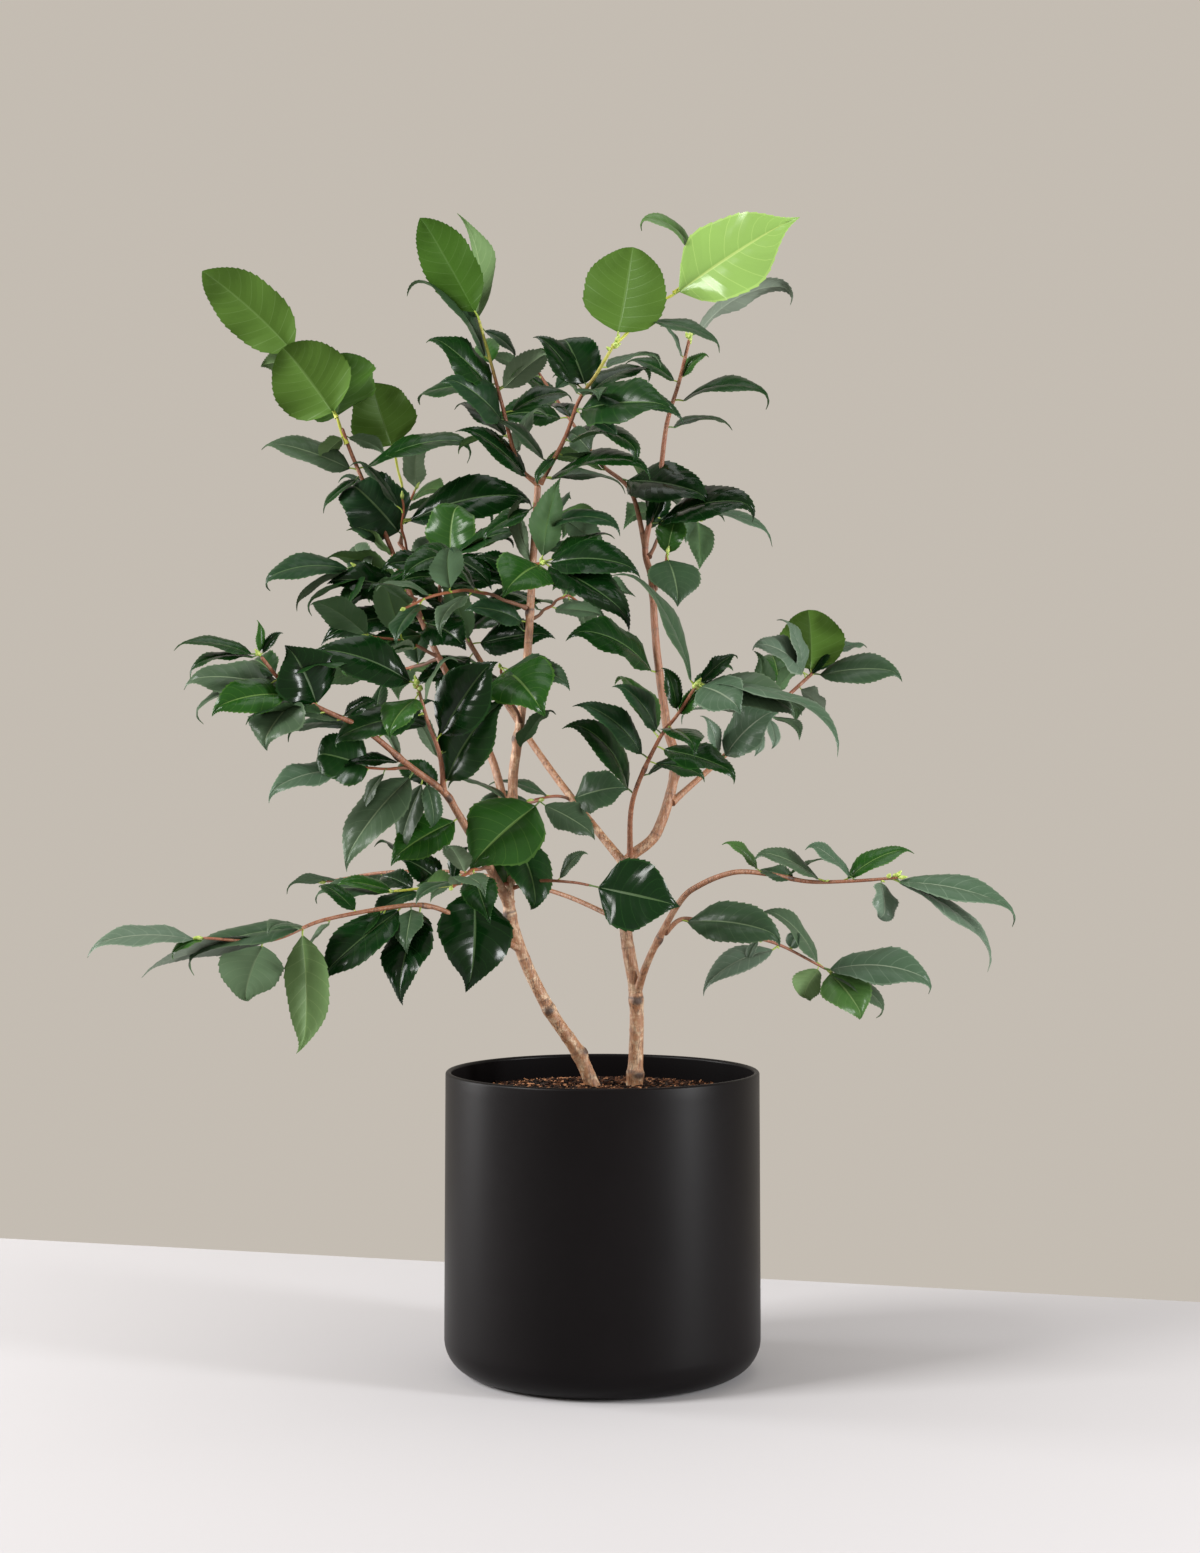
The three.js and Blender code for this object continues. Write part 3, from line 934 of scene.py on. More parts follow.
LIMBS = {
    "left": Limb(((-4, 15, 216), (-20, 13, 253), (-43, 9, 288), (-64, 2, 332), (-75, -5, 374), (-72, -3, 415),
                  (-72, 2, 473), (-68, 5, 506), (-61, 8, 568), (-56, 8, 651), (-52, 5, 711)),
                 (5.8, 2.6), (0.0, 0.42), ("stem_left", "leader_left"),
                 (0.075, 0.16, 0.325, 0.50, 0.60, 0.80)),
    "right": Limb(((25, 15, 216), (27, 14, 250), (27, 10, 299), (19, 8, 351), (19, 8, 404), (44, 10, 431),
                   (59, 15, 484), (52, 18, 518), (44, 22, 579), (40, 26, 635), (35, 29, 664), (46, 25, 715),
                   (52, 15, 761), (62, 5, 795), (70, -5, 828)),
                  (6.4, 1.3), (0.02, 0.80), ("stem_right", "leader_right", "twig_upper_right"),
                  (0.03, 0.125, 0.30, 0.435, 0.67)),
    "side": Limb(((-75, -5, 374), (-93, -30, 410), (-114, -50, 448), (-124, -60, 464), (-149, -80, 484),
                  (-182, -105, 512), (-216, -125, 529), (-240, -133, 546), (-256, -142, 566)),
                 (4.0, 1.3), (0.22, 0.80), ("bough_side_left", "bough_side_outer"), (0.36, 0.55)),
    "side_upper": Limb(((-124, -60, 464), (-126, -75, 492), (-135, -90, 520), (-142, -100, 547)),
                       (2.2, 1.2), (0.55, 0.85), ("bough_side_upper",)),
    "rear": Limb(((-74, 0, 433), (-88, 25, 485), (-102, 38, 514), (-134, 55, 572), (-166, 70, 642),
                  (-189, 75, 698), (-208, 70, 743), (-216, 66, 765)),
                 (3.7, 1.5), (0.30, 0.80), ("bough_rear_left",), (0.55, 0.86)),
    "crossing": Limb(((19, 8, 404), (-17, 35, 448), (-51, 60, 493), (-84, 85, 543), (-124, 110, 608),
                      (-146, 122, 640), (-174, 126, 676)),
                     (3.6, 1.6), (0.12, 0.62), ("bough_crossing",), (0.42, 0.7)),
    "middle": Limb(((22, 8, 408), (24, -25, 457), (43, -65, 503), (58, -84, 524), (72, -98, 546)),
                   (2.4, 1.2), (0.50, 0.78), ("bough_middle",), (0.5,)),
    "right_side": Limb(((56, 12, 455), (90, 45, 484), (123, 70, 513), (158, 90, 546), (180, 98, 566),
                        (193, 100, 580)),
                       (2.7, 1.3), (0.35, 0.72), ("bough_right",), (0.4,)),
    "low_right": Limb(((27, 10, 299), (38, -10, 332), (60, -30, 375), (76, -40, 390), (103, -55, 401),
                       (130, -70, 400), (159, -85, 395), (192, -98, 396), (225, -110, 399)),
                      (3.3, 1.1), (0.22, 0.70), ("bough_low_right",), (0.2, 0.7)),
    "low_right_rear": Limb(((50, -20, 352), (66, 12, 361), (96, 36, 353), (120, 50, 345), (148, 62, 336),
                            (187, 80, 315)),
                           (2.1, 1.0), (0.45, 0.74), ("bough_low_right_rear",)),
    "low_rear": Limb(((19, 8, 358), (-38, 60, 380), (-112, 110, 394), (-183, 140, 394), (-239, 160, 385)),
                     (2.2, 1.1), (0.30, 0.60), ("bough_low_rear",), (0.8,)),
    "low_left": Limb(((-68, 0, 338), (-90, -22, 352), (-107, -35, 361), (-133, -55, 374), (-160, -70, 375),
                      (-214, -100, 366), (-252, -120, 352), (-300, -140, 355)),
                     (2.5, 1.0), (0.30, 0.74), ("bough_low_left",), (0.35, 0.82)),
    "centre": Limb(((-74, -4, 386), (-50, -24, 393), (-25, -46, 393), (-10, -58, 391)),
                   (1.6, 1.0), (0.50, 0.70), ("twig_centre",)),
    "top_left": Limb(((-52, 5, 711), (-68, 0, 728), (-81, -15, 776), (-89, -22, 806), (-98, -30, 838)),
                     (2.0, 1.1), (0.45, 1.0), ("twig_top_left",)),
    "top_centre": Limb(((-50, 5, 712), (-30, -15, 746), (-19, -30, 773), (-5, -45, 792), (10, -60, 815)),
                       (2.0, 1.2), (0.50, 1.0), ("twig_top_centre",)),
    "upper_rear": Limb(((35, 29, 664), (23, 40, 710), (-2, 50, 734), (-26, 60, 770), (-54, 70, 813)),
                       (2.2, 1.1), (0.48, 0.75), ("twig_upper_rear",)),
}

SHOOTS = (
    Shoot("top_left_tip", "leaves_top_1", leaves(
        (0.895, 169, 5, 75, 52, GREY_AND_SHEEN), (0.9, 2, 0, 84, 60, None, 0.38, 1.3), (0.885, 228, 10, 40, 60),
        (0.69, 152, 10, 42, 110, SOFT), (0.68, -4, 5, 48, 48, DEEP), (0.6, 176, 15, 62, 34, DEEP, 0.5),
        (0.545, 199, 12, 80, 40, DEEP), (0.53, 190, -5, 40, 120, GREY_AND_SHEEN),
        (0.53, -35, 30, 48, 20, DEEP, 0.62), (0.5, 205, 25, 52, 35, DARK)),
        on="rear", grown=3, span=(0.5, 0.8), lean=(-0.3, 0.8, 0), seed=11, bud=Bud.NONE),
    Shoot("top_left_new", "leaves_top_1", leaves(
        (1.0, 128, 8, 66, 165, FRESH, 1, 0.4, ROUND), (0.85, 92, -28, 64, 150, FRESH, 1, 0.5, ROUND),
        (0.3, 238, 5, 26, 120, SOFT, 0.8, 1, ROUND), (0.3, -28, -20, 34, 130, GREY_AND_SHEEN)),
        route=((-212, 68, 752), (-216, 66, 762), (-220, 64, 773)), radii=(1.5, 1.2), age=(0.92, 1),
        bud=Bud.NONE, seed=12),
    Shoot("top_left_new_tip", "leaves_top_1", leaves(
        (1.0, 139, 10, 97, 165, FRESH, 0.5, 0.45, OBLONG), (0.93, 186, -15, 34, 150, SOFT, 0.6)),
        route=((-220, 64, 773), (-238, 70, 806), (-251, 64, 823)), radii=(1.2, 1), age=(0.95, 1),
        bud=Bud.NONE, seed=13),
    Shoot("top_left_new_side", "leaves_top_1", leaves(
        (1.0, 108, 8, 55, 165, FRESH, 1, 0.4, ROUND)),
        route=((-172, 118, 696), (-170, 112, 722), (-176, 104, 750)), radii=(1.2, 1), age=(0.9, 1),
        bud=Bud.NONE, seed=14),
    Shoot("top_leader", "leaves_top_1", leaves(
        (1.0, 121, 12, 84, 160, FRESH, 0.5, 0.5, OBLONG), (0.97, 102, -20, 98, 118, SOFT, 0.46, 0.9),
        (0.75, 142, -5, 80, 72, GREY_AND_SHEEN, 0.34, 1.3), (0.95, -46, -20, 32, 60), (0.56, 147, 15, 64, 42),
        (0.62, 193, -20, 62, 60), (0.4, 153, 30, 62, 34, DARK, 0.5), (0.58, 28, 25, 46, 140, GREY_AND_SHEEN),
        (0.02, 150, 20, 70, 50, DEEP), (0.45, 12, -25, 54, 50), (0.3, 150, -25, 54, 60)),
        on="top_left", grown=4, span=(0.1, 0.8), lean=(-0.1, 0.8, 0), size=50, seed=21, bud=Bud.NONE),
    Shoot("top_centre", "leaves_top_2", leaves(
        (1.0, 80, 8, 66, 166, FRESH, 0.98, 0.3, ROUND), (0.5, -8, 30, 86, 34, DARK, 0.5, 1.1),
        (0.62, -20, 15, 80, 48, DARK), (0.62, 14, -35, 58, 66), (0.3, -24, 20, 56, 64, None, 0.5, 1.8),
        (0.5, -38, 5, 36), (0.03, -5, 22, 86, 62), (0.03, -10, -15, 64, 74, GREY_AND_SHEEN),
        (0.12, 147, 10, 54, 62, GREY_AND_SHEEN), (0.62, 134, 5, 52, 40, DEEP, 0.5),
        (0.66, 116, -15, 42, 20, DEEP, 0.9, 1, ROUND), (0.6, 150, 10, 24, 95, GREY_AND_SHEEN), (0.2, 240, 10, 26)),
        on="top_centre", grown=4, span=(0.15, 0.9), lean=(0.1, 0.8, 0), size=50, seed=22, bud=Bud.CLUSTER),
    Shoot("top_centre_new", "leaves_top_2", leaves(
        (1.0, 30, 10, 110, 14, BRIGHT, 0.58, 0.4), (0.5, -24, -5, 60, 60, GREY_AND_SHEEN, 0.42)),
        route=((8, -58, 812), (28, -50, 832), (46, -44, 849), (55, -42, 855)), radii=(1.2, 1),
        age=(0.97, 1), bud=Bud.NONE, seed=23),
    Shoot("top_centre_tip", "leaves_top_2", leaves(
        (1.0, 158, 10, 44, 60, SOFT, 0.5, 1.8)),
        route=((56, -42, 857), (72, -34, 870), (75, -32, 886)), radii=(1, 0.8), age=(0.97, 1),
        bud=Bud.NONE, seed=24),
    Shoot("top_right", "leaves_top_2", leaves(
        (1.0, 18, -10, 82, 112, MIST, 0.34, 1.3), (0.97, 128, 10, 30, 70, MIST), (0.94, 162, 5, 42, 56),
        (0.945, 36, 5, 26, 50, MID), (0.915, -8, 10, 68, 62, None, 0.38, 1.8),
        (0.755, -3, 28, 84, 46, DEEP, 0.44, 1.3), (0.765, -13, -15, 100, 72, MIST, 0.32, 1.5),
        (0.745, 82, -10, 40, 45, DEEP)),
        on="right", span=(0.74, 0.92), grown=2, lean=(0.2, 1.2, 0), seed=31, bud=Bud.CLUSTER),
    Shoot("right_small", "leaves_top_2", leaves(
        (0.95, -80, 25, 44, 20, GREY_AND_SHEEN, 0.95), (0.9, 72, -10, 34, 35, MID, 0.75)),
        route=((43, 25, 628), (47, 20, 640), (52, 14, 656)), radii=(1.2, 0.9), seed=32),
    Shoot("upper_rear", "leaves_top_2", leaves(
        (0.34, -22, 28, 80, 34, DEEP, 0.48, 1.2), (0.72, 187, 10, 58, 36, None, 0.46),
        (0.52, 140, 10, 24, 30, GREY_AND_SHEEN, 0.9, 1, ROUND), (0.8, 150, -20, 50, 60), (0.88, 20, -30, 44, 50),
        (0.95, 165, 5, 44, 110, GREY_AND_SHEEN)),
        on="upper_rear", grown=3, span=(0.3, 0.9), lean=(-0.1, 1, 0.1), seed=33),
    Shoot("leader_upper", "leaves_centre", leaves(
        (0.965, 220, 10, 46, 55), (0.93, -8, 10, 62, 58, None, 0.42, 1.3), (0.84, 157, 25, 52, 45, DEEP),
        (0.9, -14, -25, 50, 60, GREY_AND_SHEEN), (0.78, 172, 20, 50, 38, DARK), (0.5, 170, -15, 50, 90, GREY_AND_SHEEN)),
        on="left", grown=5, span=(0.52, 0.98), lean=(-0.1, 0.7, 0), size=52, seed=41, bud=Bud.NONE),
    Shoot("centre_rosette", "leaves_centre", leaves(
        (0.6, 77, -5, 66, 150, DARK, 0.42, 0.4), (0.95, 226, 45, 56, 20, MID, 0.78, 0.9),
        (1.0, -11, 12, 74, 42, DEEP), (1.0, -41, 25, 92, 40, DEEP), (0.7, 20, -25, 60, 68)),
        route=((-53, 2, 646), (-50, -14, 646), (-47, -30, 646)), radii=(1.4, 1), seed=42, bud=Bud.CLUSTER),
    Shoot("rear_twig", "leaves_left", leaves(
        (0.72, 6, -5, 102, 34, DEEP, 0.38, 1.3), (0.85, 140, 0, 52, 70, GREY_AND_SHEEN),
        (0.55, 136, 5, 54, 20, None, 0.85, 1, ROUND), (0.75, -2, -25, 72, 66)),
        route=((-150, 112, 646), (-165, 90, 668), (-166, 72, 694), (-166, 66, 706)), radii=(1.3, 0.9),
        seed=43),
    Shoot("rear_side_twig", "leaves_left", leaves(
        (1.0, 197, 5, 66, 52, None, 0.42, 1.4), (0.98, 218, 10, 56, 98, GREY_AND_SHEEN), (0.9, 258, 25, 36, 40),
        (0.55, 224, 5, 40, 55, GREY_AND_SHEEN)),
        route=((-154, 66, 622), (-176, 60, 634), (-196, 56, 644), (-202, 54, 648)), radii=(1.4, 0.9),
        grown=3, span=(0.3, 0.9), lean=(-0.2, 0.6, 0), size=48, seed=44),
    Shoot("left_inner", "leaves_left", leaves(
        (0.75, 80, -10, 42, 25, MID, 1, 1, ROUND), (0.75, -20, 8, 52, 40, DEEP), (0.9, 14, -5, 60, 60),
        (0.2, -3, 10, 50, 48, DEEP), (0.6, 187, 15, 50, 38, DEEP), (0.4, 200, 25, 50, 35),
        (1.0, 215, 35, 48, 30, DARK), (0.9, -40, 30, 50, 35, DEEP)),
        route=((-138, 112, 624), (-134, 80, 640), (-126, 40, 652), (-124, 10, 656)), radii=(1.5, 1),
        grown=4, span=(0.2, 1), lean=(-0.1, 0.5, 0), size=52, seed=45),
    Shoot("crossing_row", "leaves_left", leaves(
        (0.72, 18, 12, 66, 42), (0.68, 2, 15, 66, 34, DEEP, 0.5), (0.74, 185, 10, 52, 34, DEEP, 0.5),
        (0.66, 235, 15, 46, 35), (0.78, 150, 10, 46, 45, DARK), (0.62, 200, 20, 58, 40, DEEP),
        (0.84, 40, -10, 48, 50), (0.88, 190, 0, 40, 60, GREY_AND_SHEEN)),
        on="crossing", grown=6, span=(0.5, 0.95), lean=(0.1, 0.3, 0), size=54, seed=46, bud=Bud.NONE),
    Shoot("side_tip", "leaves_left", leaves(
        (0.8, 118, 10, 50, 25, DEEP, 1, 0.7), (0.87, 198, 20, 60, 28, MID, 0.5),
        (0.88, 180, -8, 78, 48, GREY_AND_SHEEN, 0.42), (1.0, 200, 5, 50, 64, None, 0.36, 1.3),
        (1.0, 178, 8, 58, 66, None, 0.36, 1.2), (1.0, 95, 0, 24, 60, MID), (1.0, 45, -10, 22, 40, DEEP),
        (0.86, 245, 25, 46, 35, GREY_AND_SHEEN, 0.95), (0.92, 210, -15, 64, 72, GREY_AND_SHEEN, 0.35, 1.3),
        (0.72, 184, 12, 66, 62, GREY_AND_SHEEN), (0.74, 20, 5, 28, 40, DEEP), (0.93, 4, -15, 54, 74),
        (0.52, 138, 10, 50, 115, GREY_AND_SHEEN), (0.48, 237, 10, 88, 38, GREY_AND_SHEEN, 0.46),
        (0.45, 256, -15, 60, 45, GREY_AND_SHEEN), (0.44, 272, -10, 34, 45, GREY_AND_SHEEN), (0.29, 216, 15, 62, 26, MID, 0.56),
        (0.62, 30, -25, 50, 60)),
        on="side", grown=6, span=(0.35, 0.95), lean=(-0.3, 0.8, 0), size=54, seed=51),
    Shoot("side_low_twig", "leaves_left", leaves(
        (1.0, 203, 15, 68, 50, MIST, 0.42, 1.2), (0.75, 168, 10, 40, 25, DARK, 0.88, 1, ROUND),
        (0.5, 250, 0, 34, 60, GREY_AND_SHEEN)),
        route=((-146, -78, 483), (-165, -84, 482), (-187, -88, 483)), radii=(1.3, 0.9), seed=56,
        bud=Bud.CLUSTER),
    Shoot("side_upper", "leaves_left", leaves(
        (0.98, 164, 10, 78, 32, DEEP, 0.46), (0.9, 241, 32, 42, 36, MID, 0.7), (0.72, 202, 10, 66, 40),
        (0.28, 130, 0, 48, 120, GREY_AND_SHEEN), (0.45, 51, 8, 72, 22, DEEP, 0.62),
        (0.05, 52, 15, 82, 24, DARK, 0.56)),
        on="side_upper", grown=3, span=(0.2, 0.9), lean=(0.2, 0.9, 0), size=52, seed=52, bud=Bud.CLUSTER),
    Shoot("leader_front", "leaves_centre", leaves(
        (1.0, -48, 40, 64, 20, MID, 0.72), (1.0, -20, 25, 58, 42, GREY_AND_SHEEN), (0.8, 200, 30, 46, 45, DEEP)),
        route=((-66, 4, 520), (-76, -22, 546), (-80, -44, 561)), radii=(1.4, 1), seed=53),
    Shoot("leader_low", "leaves_centre", leaves(
        (0.37, 105, 20, 26, 35, MID, 1.1, 1, ROUND), (0.45, 283, 18, 58, 35, DARK, 0.6)),
        on="left", seed=54, bud=Bud.NONE),
    Shoot("front_twig", "leaves_centre", leaves(
        (1.0, 226, 15, 75, 18, MID, 0.8, 0.8)),
        route=((-70, 2, 452), (-58, -12, 455), (-50, -24, 457)), radii=(1.3, 1), seed=57),
    Shoot("crossing_twig", "leaves_centre", leaves(
        (0.5, 172, 0, 50, 75, GREY_AND_SHEEN), (0.1, 8, 10, 46, 35, GREY_AND_SHEEN, 0.78), (0.85, -35, 5, 50, 40, GREY_AND_SHEEN, 0.6),
        (1.0, 190, 15, 40, 60, GREY_AND_SHEEN)),
        route=((-24, 42, 456), (-38, 34, 460), (-56, 26, 457)), radii=(1.3, 0.9), seed=55),
    Shoot("middle", "leaves_centre", leaves(
        (0.7, 137, 15, 50, 50, None, 0.5, 1.4), (0.55, 146, 15, 68, 50, None, 0.42, 1.2),
        (0.34, 138, 12, 72, 50, None, 0.42, 1.2), (0.63, -27, 20, 64, 46, None, 0.42, 1.2),
        (0.45, 14, -20, 56, 84, GREY_AND_SHEEN, 0.3), (1.0, 32, -10, 34, 50, DEEP),
        (1.0, -38, 35, 44, 22, MIST, 0.8), (0.98, 128, 8, 102, 74, GREY_AND_SHEEN, 0.36, 0.9),
        (1.0, -22, -5, 72, 46, GREY_AND_SHEEN), (1.0, -29, 12, 114, 74, MIST, 0.3, 1.1), (0.82, 40, 15, 34, 35, MID),
        (0.84, 112, 10, 34, 35)),
        on="middle", grown=4, span=(0.45, 1), lean=(0.1, 0.8, 0), size=52, seed=61, bud=Bud.CLUSTER),
    Shoot("leader_right_leaf", "leaves_centre", leaves(
        (0.56, 162, 20, 78, 46, DARK, 0.45, 1.2)),
        on="right", seed=62, bud=Bud.NONE),
    Shoot("right_side", "leaves_right_side", leaves(
        (0.87, 93, 5, 50, 160, FRESH, 1.1, 0.3, ROUND), (0.86, 158, 20, 50, 50, MIST, 0.55, 1.5),
        (0.84, 118, 10, 50, 60, MIST), (0.87, -6, 15, 70, 38, GREY_AND_SHEEN, 0.44), (1.0, 8, -25, 32, 62, MIST),
        (0.8, -55, 15, 32, 110, MIST, 0.8), (0.86, 52, -10, 34, 40, DEEP),
        (0.31, 38, 10, 56, 38, MIST, 0.6), (0.31, 115, 10, 36, 50, MIST), (0.55, 262, 20, 24, 35, MIST),
        (0.62, 272, 15, 26, 35, MIST), (0.6, 186, 5, 64, 88, MIST, 0.3)),
        on="right_side", span=(0.5, 0.95), grown=2, lean=(0.2, 1, 0), size=46, seed=71, bud=Bud.CLUSTER),
    Shoot("low_right", "leaves_right_side", leaves(
        (0.61, 146, 5, 34, 60, SOFT), (0.8, 165, 5, 52, 60, None, 0.45, 1.3), (0.83, 20, -5, 56, 60, MID),
        (0.88, 150, 0, 40, 60, MIST), (0.97, -22, 10, 92, 60, MIST, 0.32, 1.2),
        (0.985, -46, 5, 94, 70, MIST, 0.34), (0.95, 265, 15, 28, 45, MIST, 0.9, 1, ROUND),
        (0.72, 172, -40, 36, 60)),
        on="low_right", span=(0.6, 0.95), grown=1, lean=(0.4, 0.8, 0), size=40, tint=GREY_AND_SHEEN, seed=72,
        bud=Bud.CLUSTER),
    Shoot("low_right_rear", "leaves_right_side", leaves(
        (0.16, -15, 15, 78, 32, GREY_AND_SHEEN, 0.44), (0.72, 213, 10, 70, 56, MIST), (0.62, 250, 10, 20, 45, MIST),
        (0.98, 142, 5, 64, 60), (0.97, -14, 5, 84, 50, MIST, 0.42, 1.4),
        (0.95, 250, 10, 26, 140, SOFT, 1, 1, ROUND), (1.0, -58, 20, 46, 32, SOFT, 0.8),
        (1.0, -45, -5, 54, 66, GREY_AND_SHEEN), (0.78, 60, 0, 14, 40, MIST, 0.9, 1, ROUND)),
        on="low_right_rear", tint=GREY_AND_SHEEN, seed=73),
    Shoot("centre_leaf", "leaves_centre", leaves(
        (1.0, -13, 12, 66, 10, DEEP, 0.8, 0.7), (0.58, 40, 10, 30, 50, GREY_AND_SHEEN)),
        on="centre", seed=74, bud=Bud.NONE),
    Shoot("low_left", "leaves_low", leaves(
        (0.355, 261, 20, 76, 28, DEEP, 0.48), (0.46, 240, -10, 46, 50, GREY_AND_SHEEN),
        (0.41, 225, 15, 86, 40, DEEP), (0.47, 232, 0, 46, 55), (0.71, 268, 10, 90, 152, SOFT, 0.42, 0.8),
        (0.83, 255, -5, 44, 158, GREY_AND_SHEEN, 0.95), (0.8, 196, 10, 98, 116, MIST, 0.3, 0.6),
        (0.69, 204, 5, 90, 66, GREY_AND_SHEEN, 0.36, 1.1), (1.0, 190, 8, 80, 62, MIST, 0.36, 0.7),
        (0.99, 215, 20, 26, 60, MID)),
        on="low_left", grown=4, span=(0.35, 0.8), lean=(0, 0.5, -0.1), size=50, seed=81),
    Shoot("low_green_shoot", "leaves_low", leaves(
        (0.3, 266, 15, 82, 15, DEEP, 0.68, 0.8), (0.55, 150, 10, 38, 35, DEEP, 0.7),
        (0.52, 62, -5, 30, 45, DEEP), (1.0, 190, -5, 54, 70, GREY_AND_SHEEN), (0.96, 178, 10, 44, 62, MID),
        (0.75, 215, 15, 44, 50)),
        route=((-76, -8, 390), (-100, -26, 392), (-130, -38, 389), (-164, -48, 386)), radii=(1.2, 0.9),
        age=(0.8, 1), grown=2, span=(0.3, 0.9), lean=(0, 0.6, 0), size=46, seed=82),
    Shoot("low_rear", "leaves_back", on="low_rear", span=(0.55, 0.98), grown=4, lean=(-0.2, 0.5, -0.1),
          seed=83, size=42),
    Shoot("back_left", "leaves_back",
          route=((-134, 58, 574), (-158, 92, 568), (-182, 132, 568), (-200, 164, 576)), grown=9,
          lean=(-0.1, 0.3, 0.1), seed=91, size=54),
    Shoot("upper_back", "leaves_back", route=((-172, 126, 674), (-170, 134, 700), (-160, 138, 722)),
          grown=5, lean=(0.3, 0.3, -0.1), seed=92, size=52),
    Shoot("centre_back", "leaves_back",
          route=((-60, 10, 600), (-44, 56, 616), (-30, 96, 628), (-20, 126, 624)), grown=7,
          lean=(-0.2, 0.2, 0.1), seed=93, size=52),
    Shoot("upper_right_back", "leaves_back",
          route=((38, 27, 655), (56, 72, 690), (72, 118, 704), (84, 150, 698)), grown=7, lean=(0.1, 0.3, 0.1),
          seed=94, size=54),
    Shoot("right_back", "leaves_back",
          route=((118, 68, 510), (130, 112, 530), (146, 146, 546), (156, 168, 556)), grown=6,
          lean=(0.1, 0.2, 0.1), seed=95, size=50),
    Shoot("front_left", "leaves_left",
          route=((-62, 4, 612), (-100, -40, 622), (-130, -78, 616), (-150, -112, 604)), grown=6,
          lean=(-0.2, -0.3, 0.1), seed=96, size=52),
    Shoot("low_front", "leaves_low", route=((-90, -28, 404), (-104, -76, 402), (-114, -120, 392)), grown=4,
          lean=(-0.1, -0.4, -0.2), seed=97, size=48),
    Shoot("centre_top", "leaves_centre", route=((-54, 10, 690), (-40, 34, 692), (-24, 56, 684)), grown=4,
          lean=(-0.1, 0.3, 0.1), seed=98, size=46),
    Shoot("middle_left", "leaves_left", route=((-134, 56, 574), (-160, 44, 586), (-190, 24, 590)), grown=5,
          lean=(-0.2, -0.1, 0), seed=99, size=56),
)

LEAF_GROUPS = {
    "leaves_top_1": ("leaves_top_left", "leaves_top_leader"),
    "leaves_top_2": ("leaves_top_centre", "leaves_top_right", "leaves_upper_right", "leaves_upper_rear"),
    "leaves_left": ("leaves_upper_left", "leaves_upper_inner", "leaves_middle_left", "leaves_front_left",
                    "leaves_left_tip", "leaves_left_hanging"),
    "leaves_centre": ("leaves_centre_left", "leaves_centre_upper", "leaves_centre_top", "leaves_centre_low",
                      "leaves_centre_right", "leaf_centre"),
    "leaves_right_side": ("leaves_right", "leaves_low_right", "leaves_low_right_rear"),
    "leaves_low": ("leaves_low_left", "leaves_low_left_tip", "leaves_low_front"),
    "leaves_back": ("leaves_upper_right_rear", "leaves_upper_back", "leaves_back_left", "leaves_centre_back",
                    "leaves_right_rear", "leaves_low_rear"),
}


# ---------------------------------------------------------------- wood


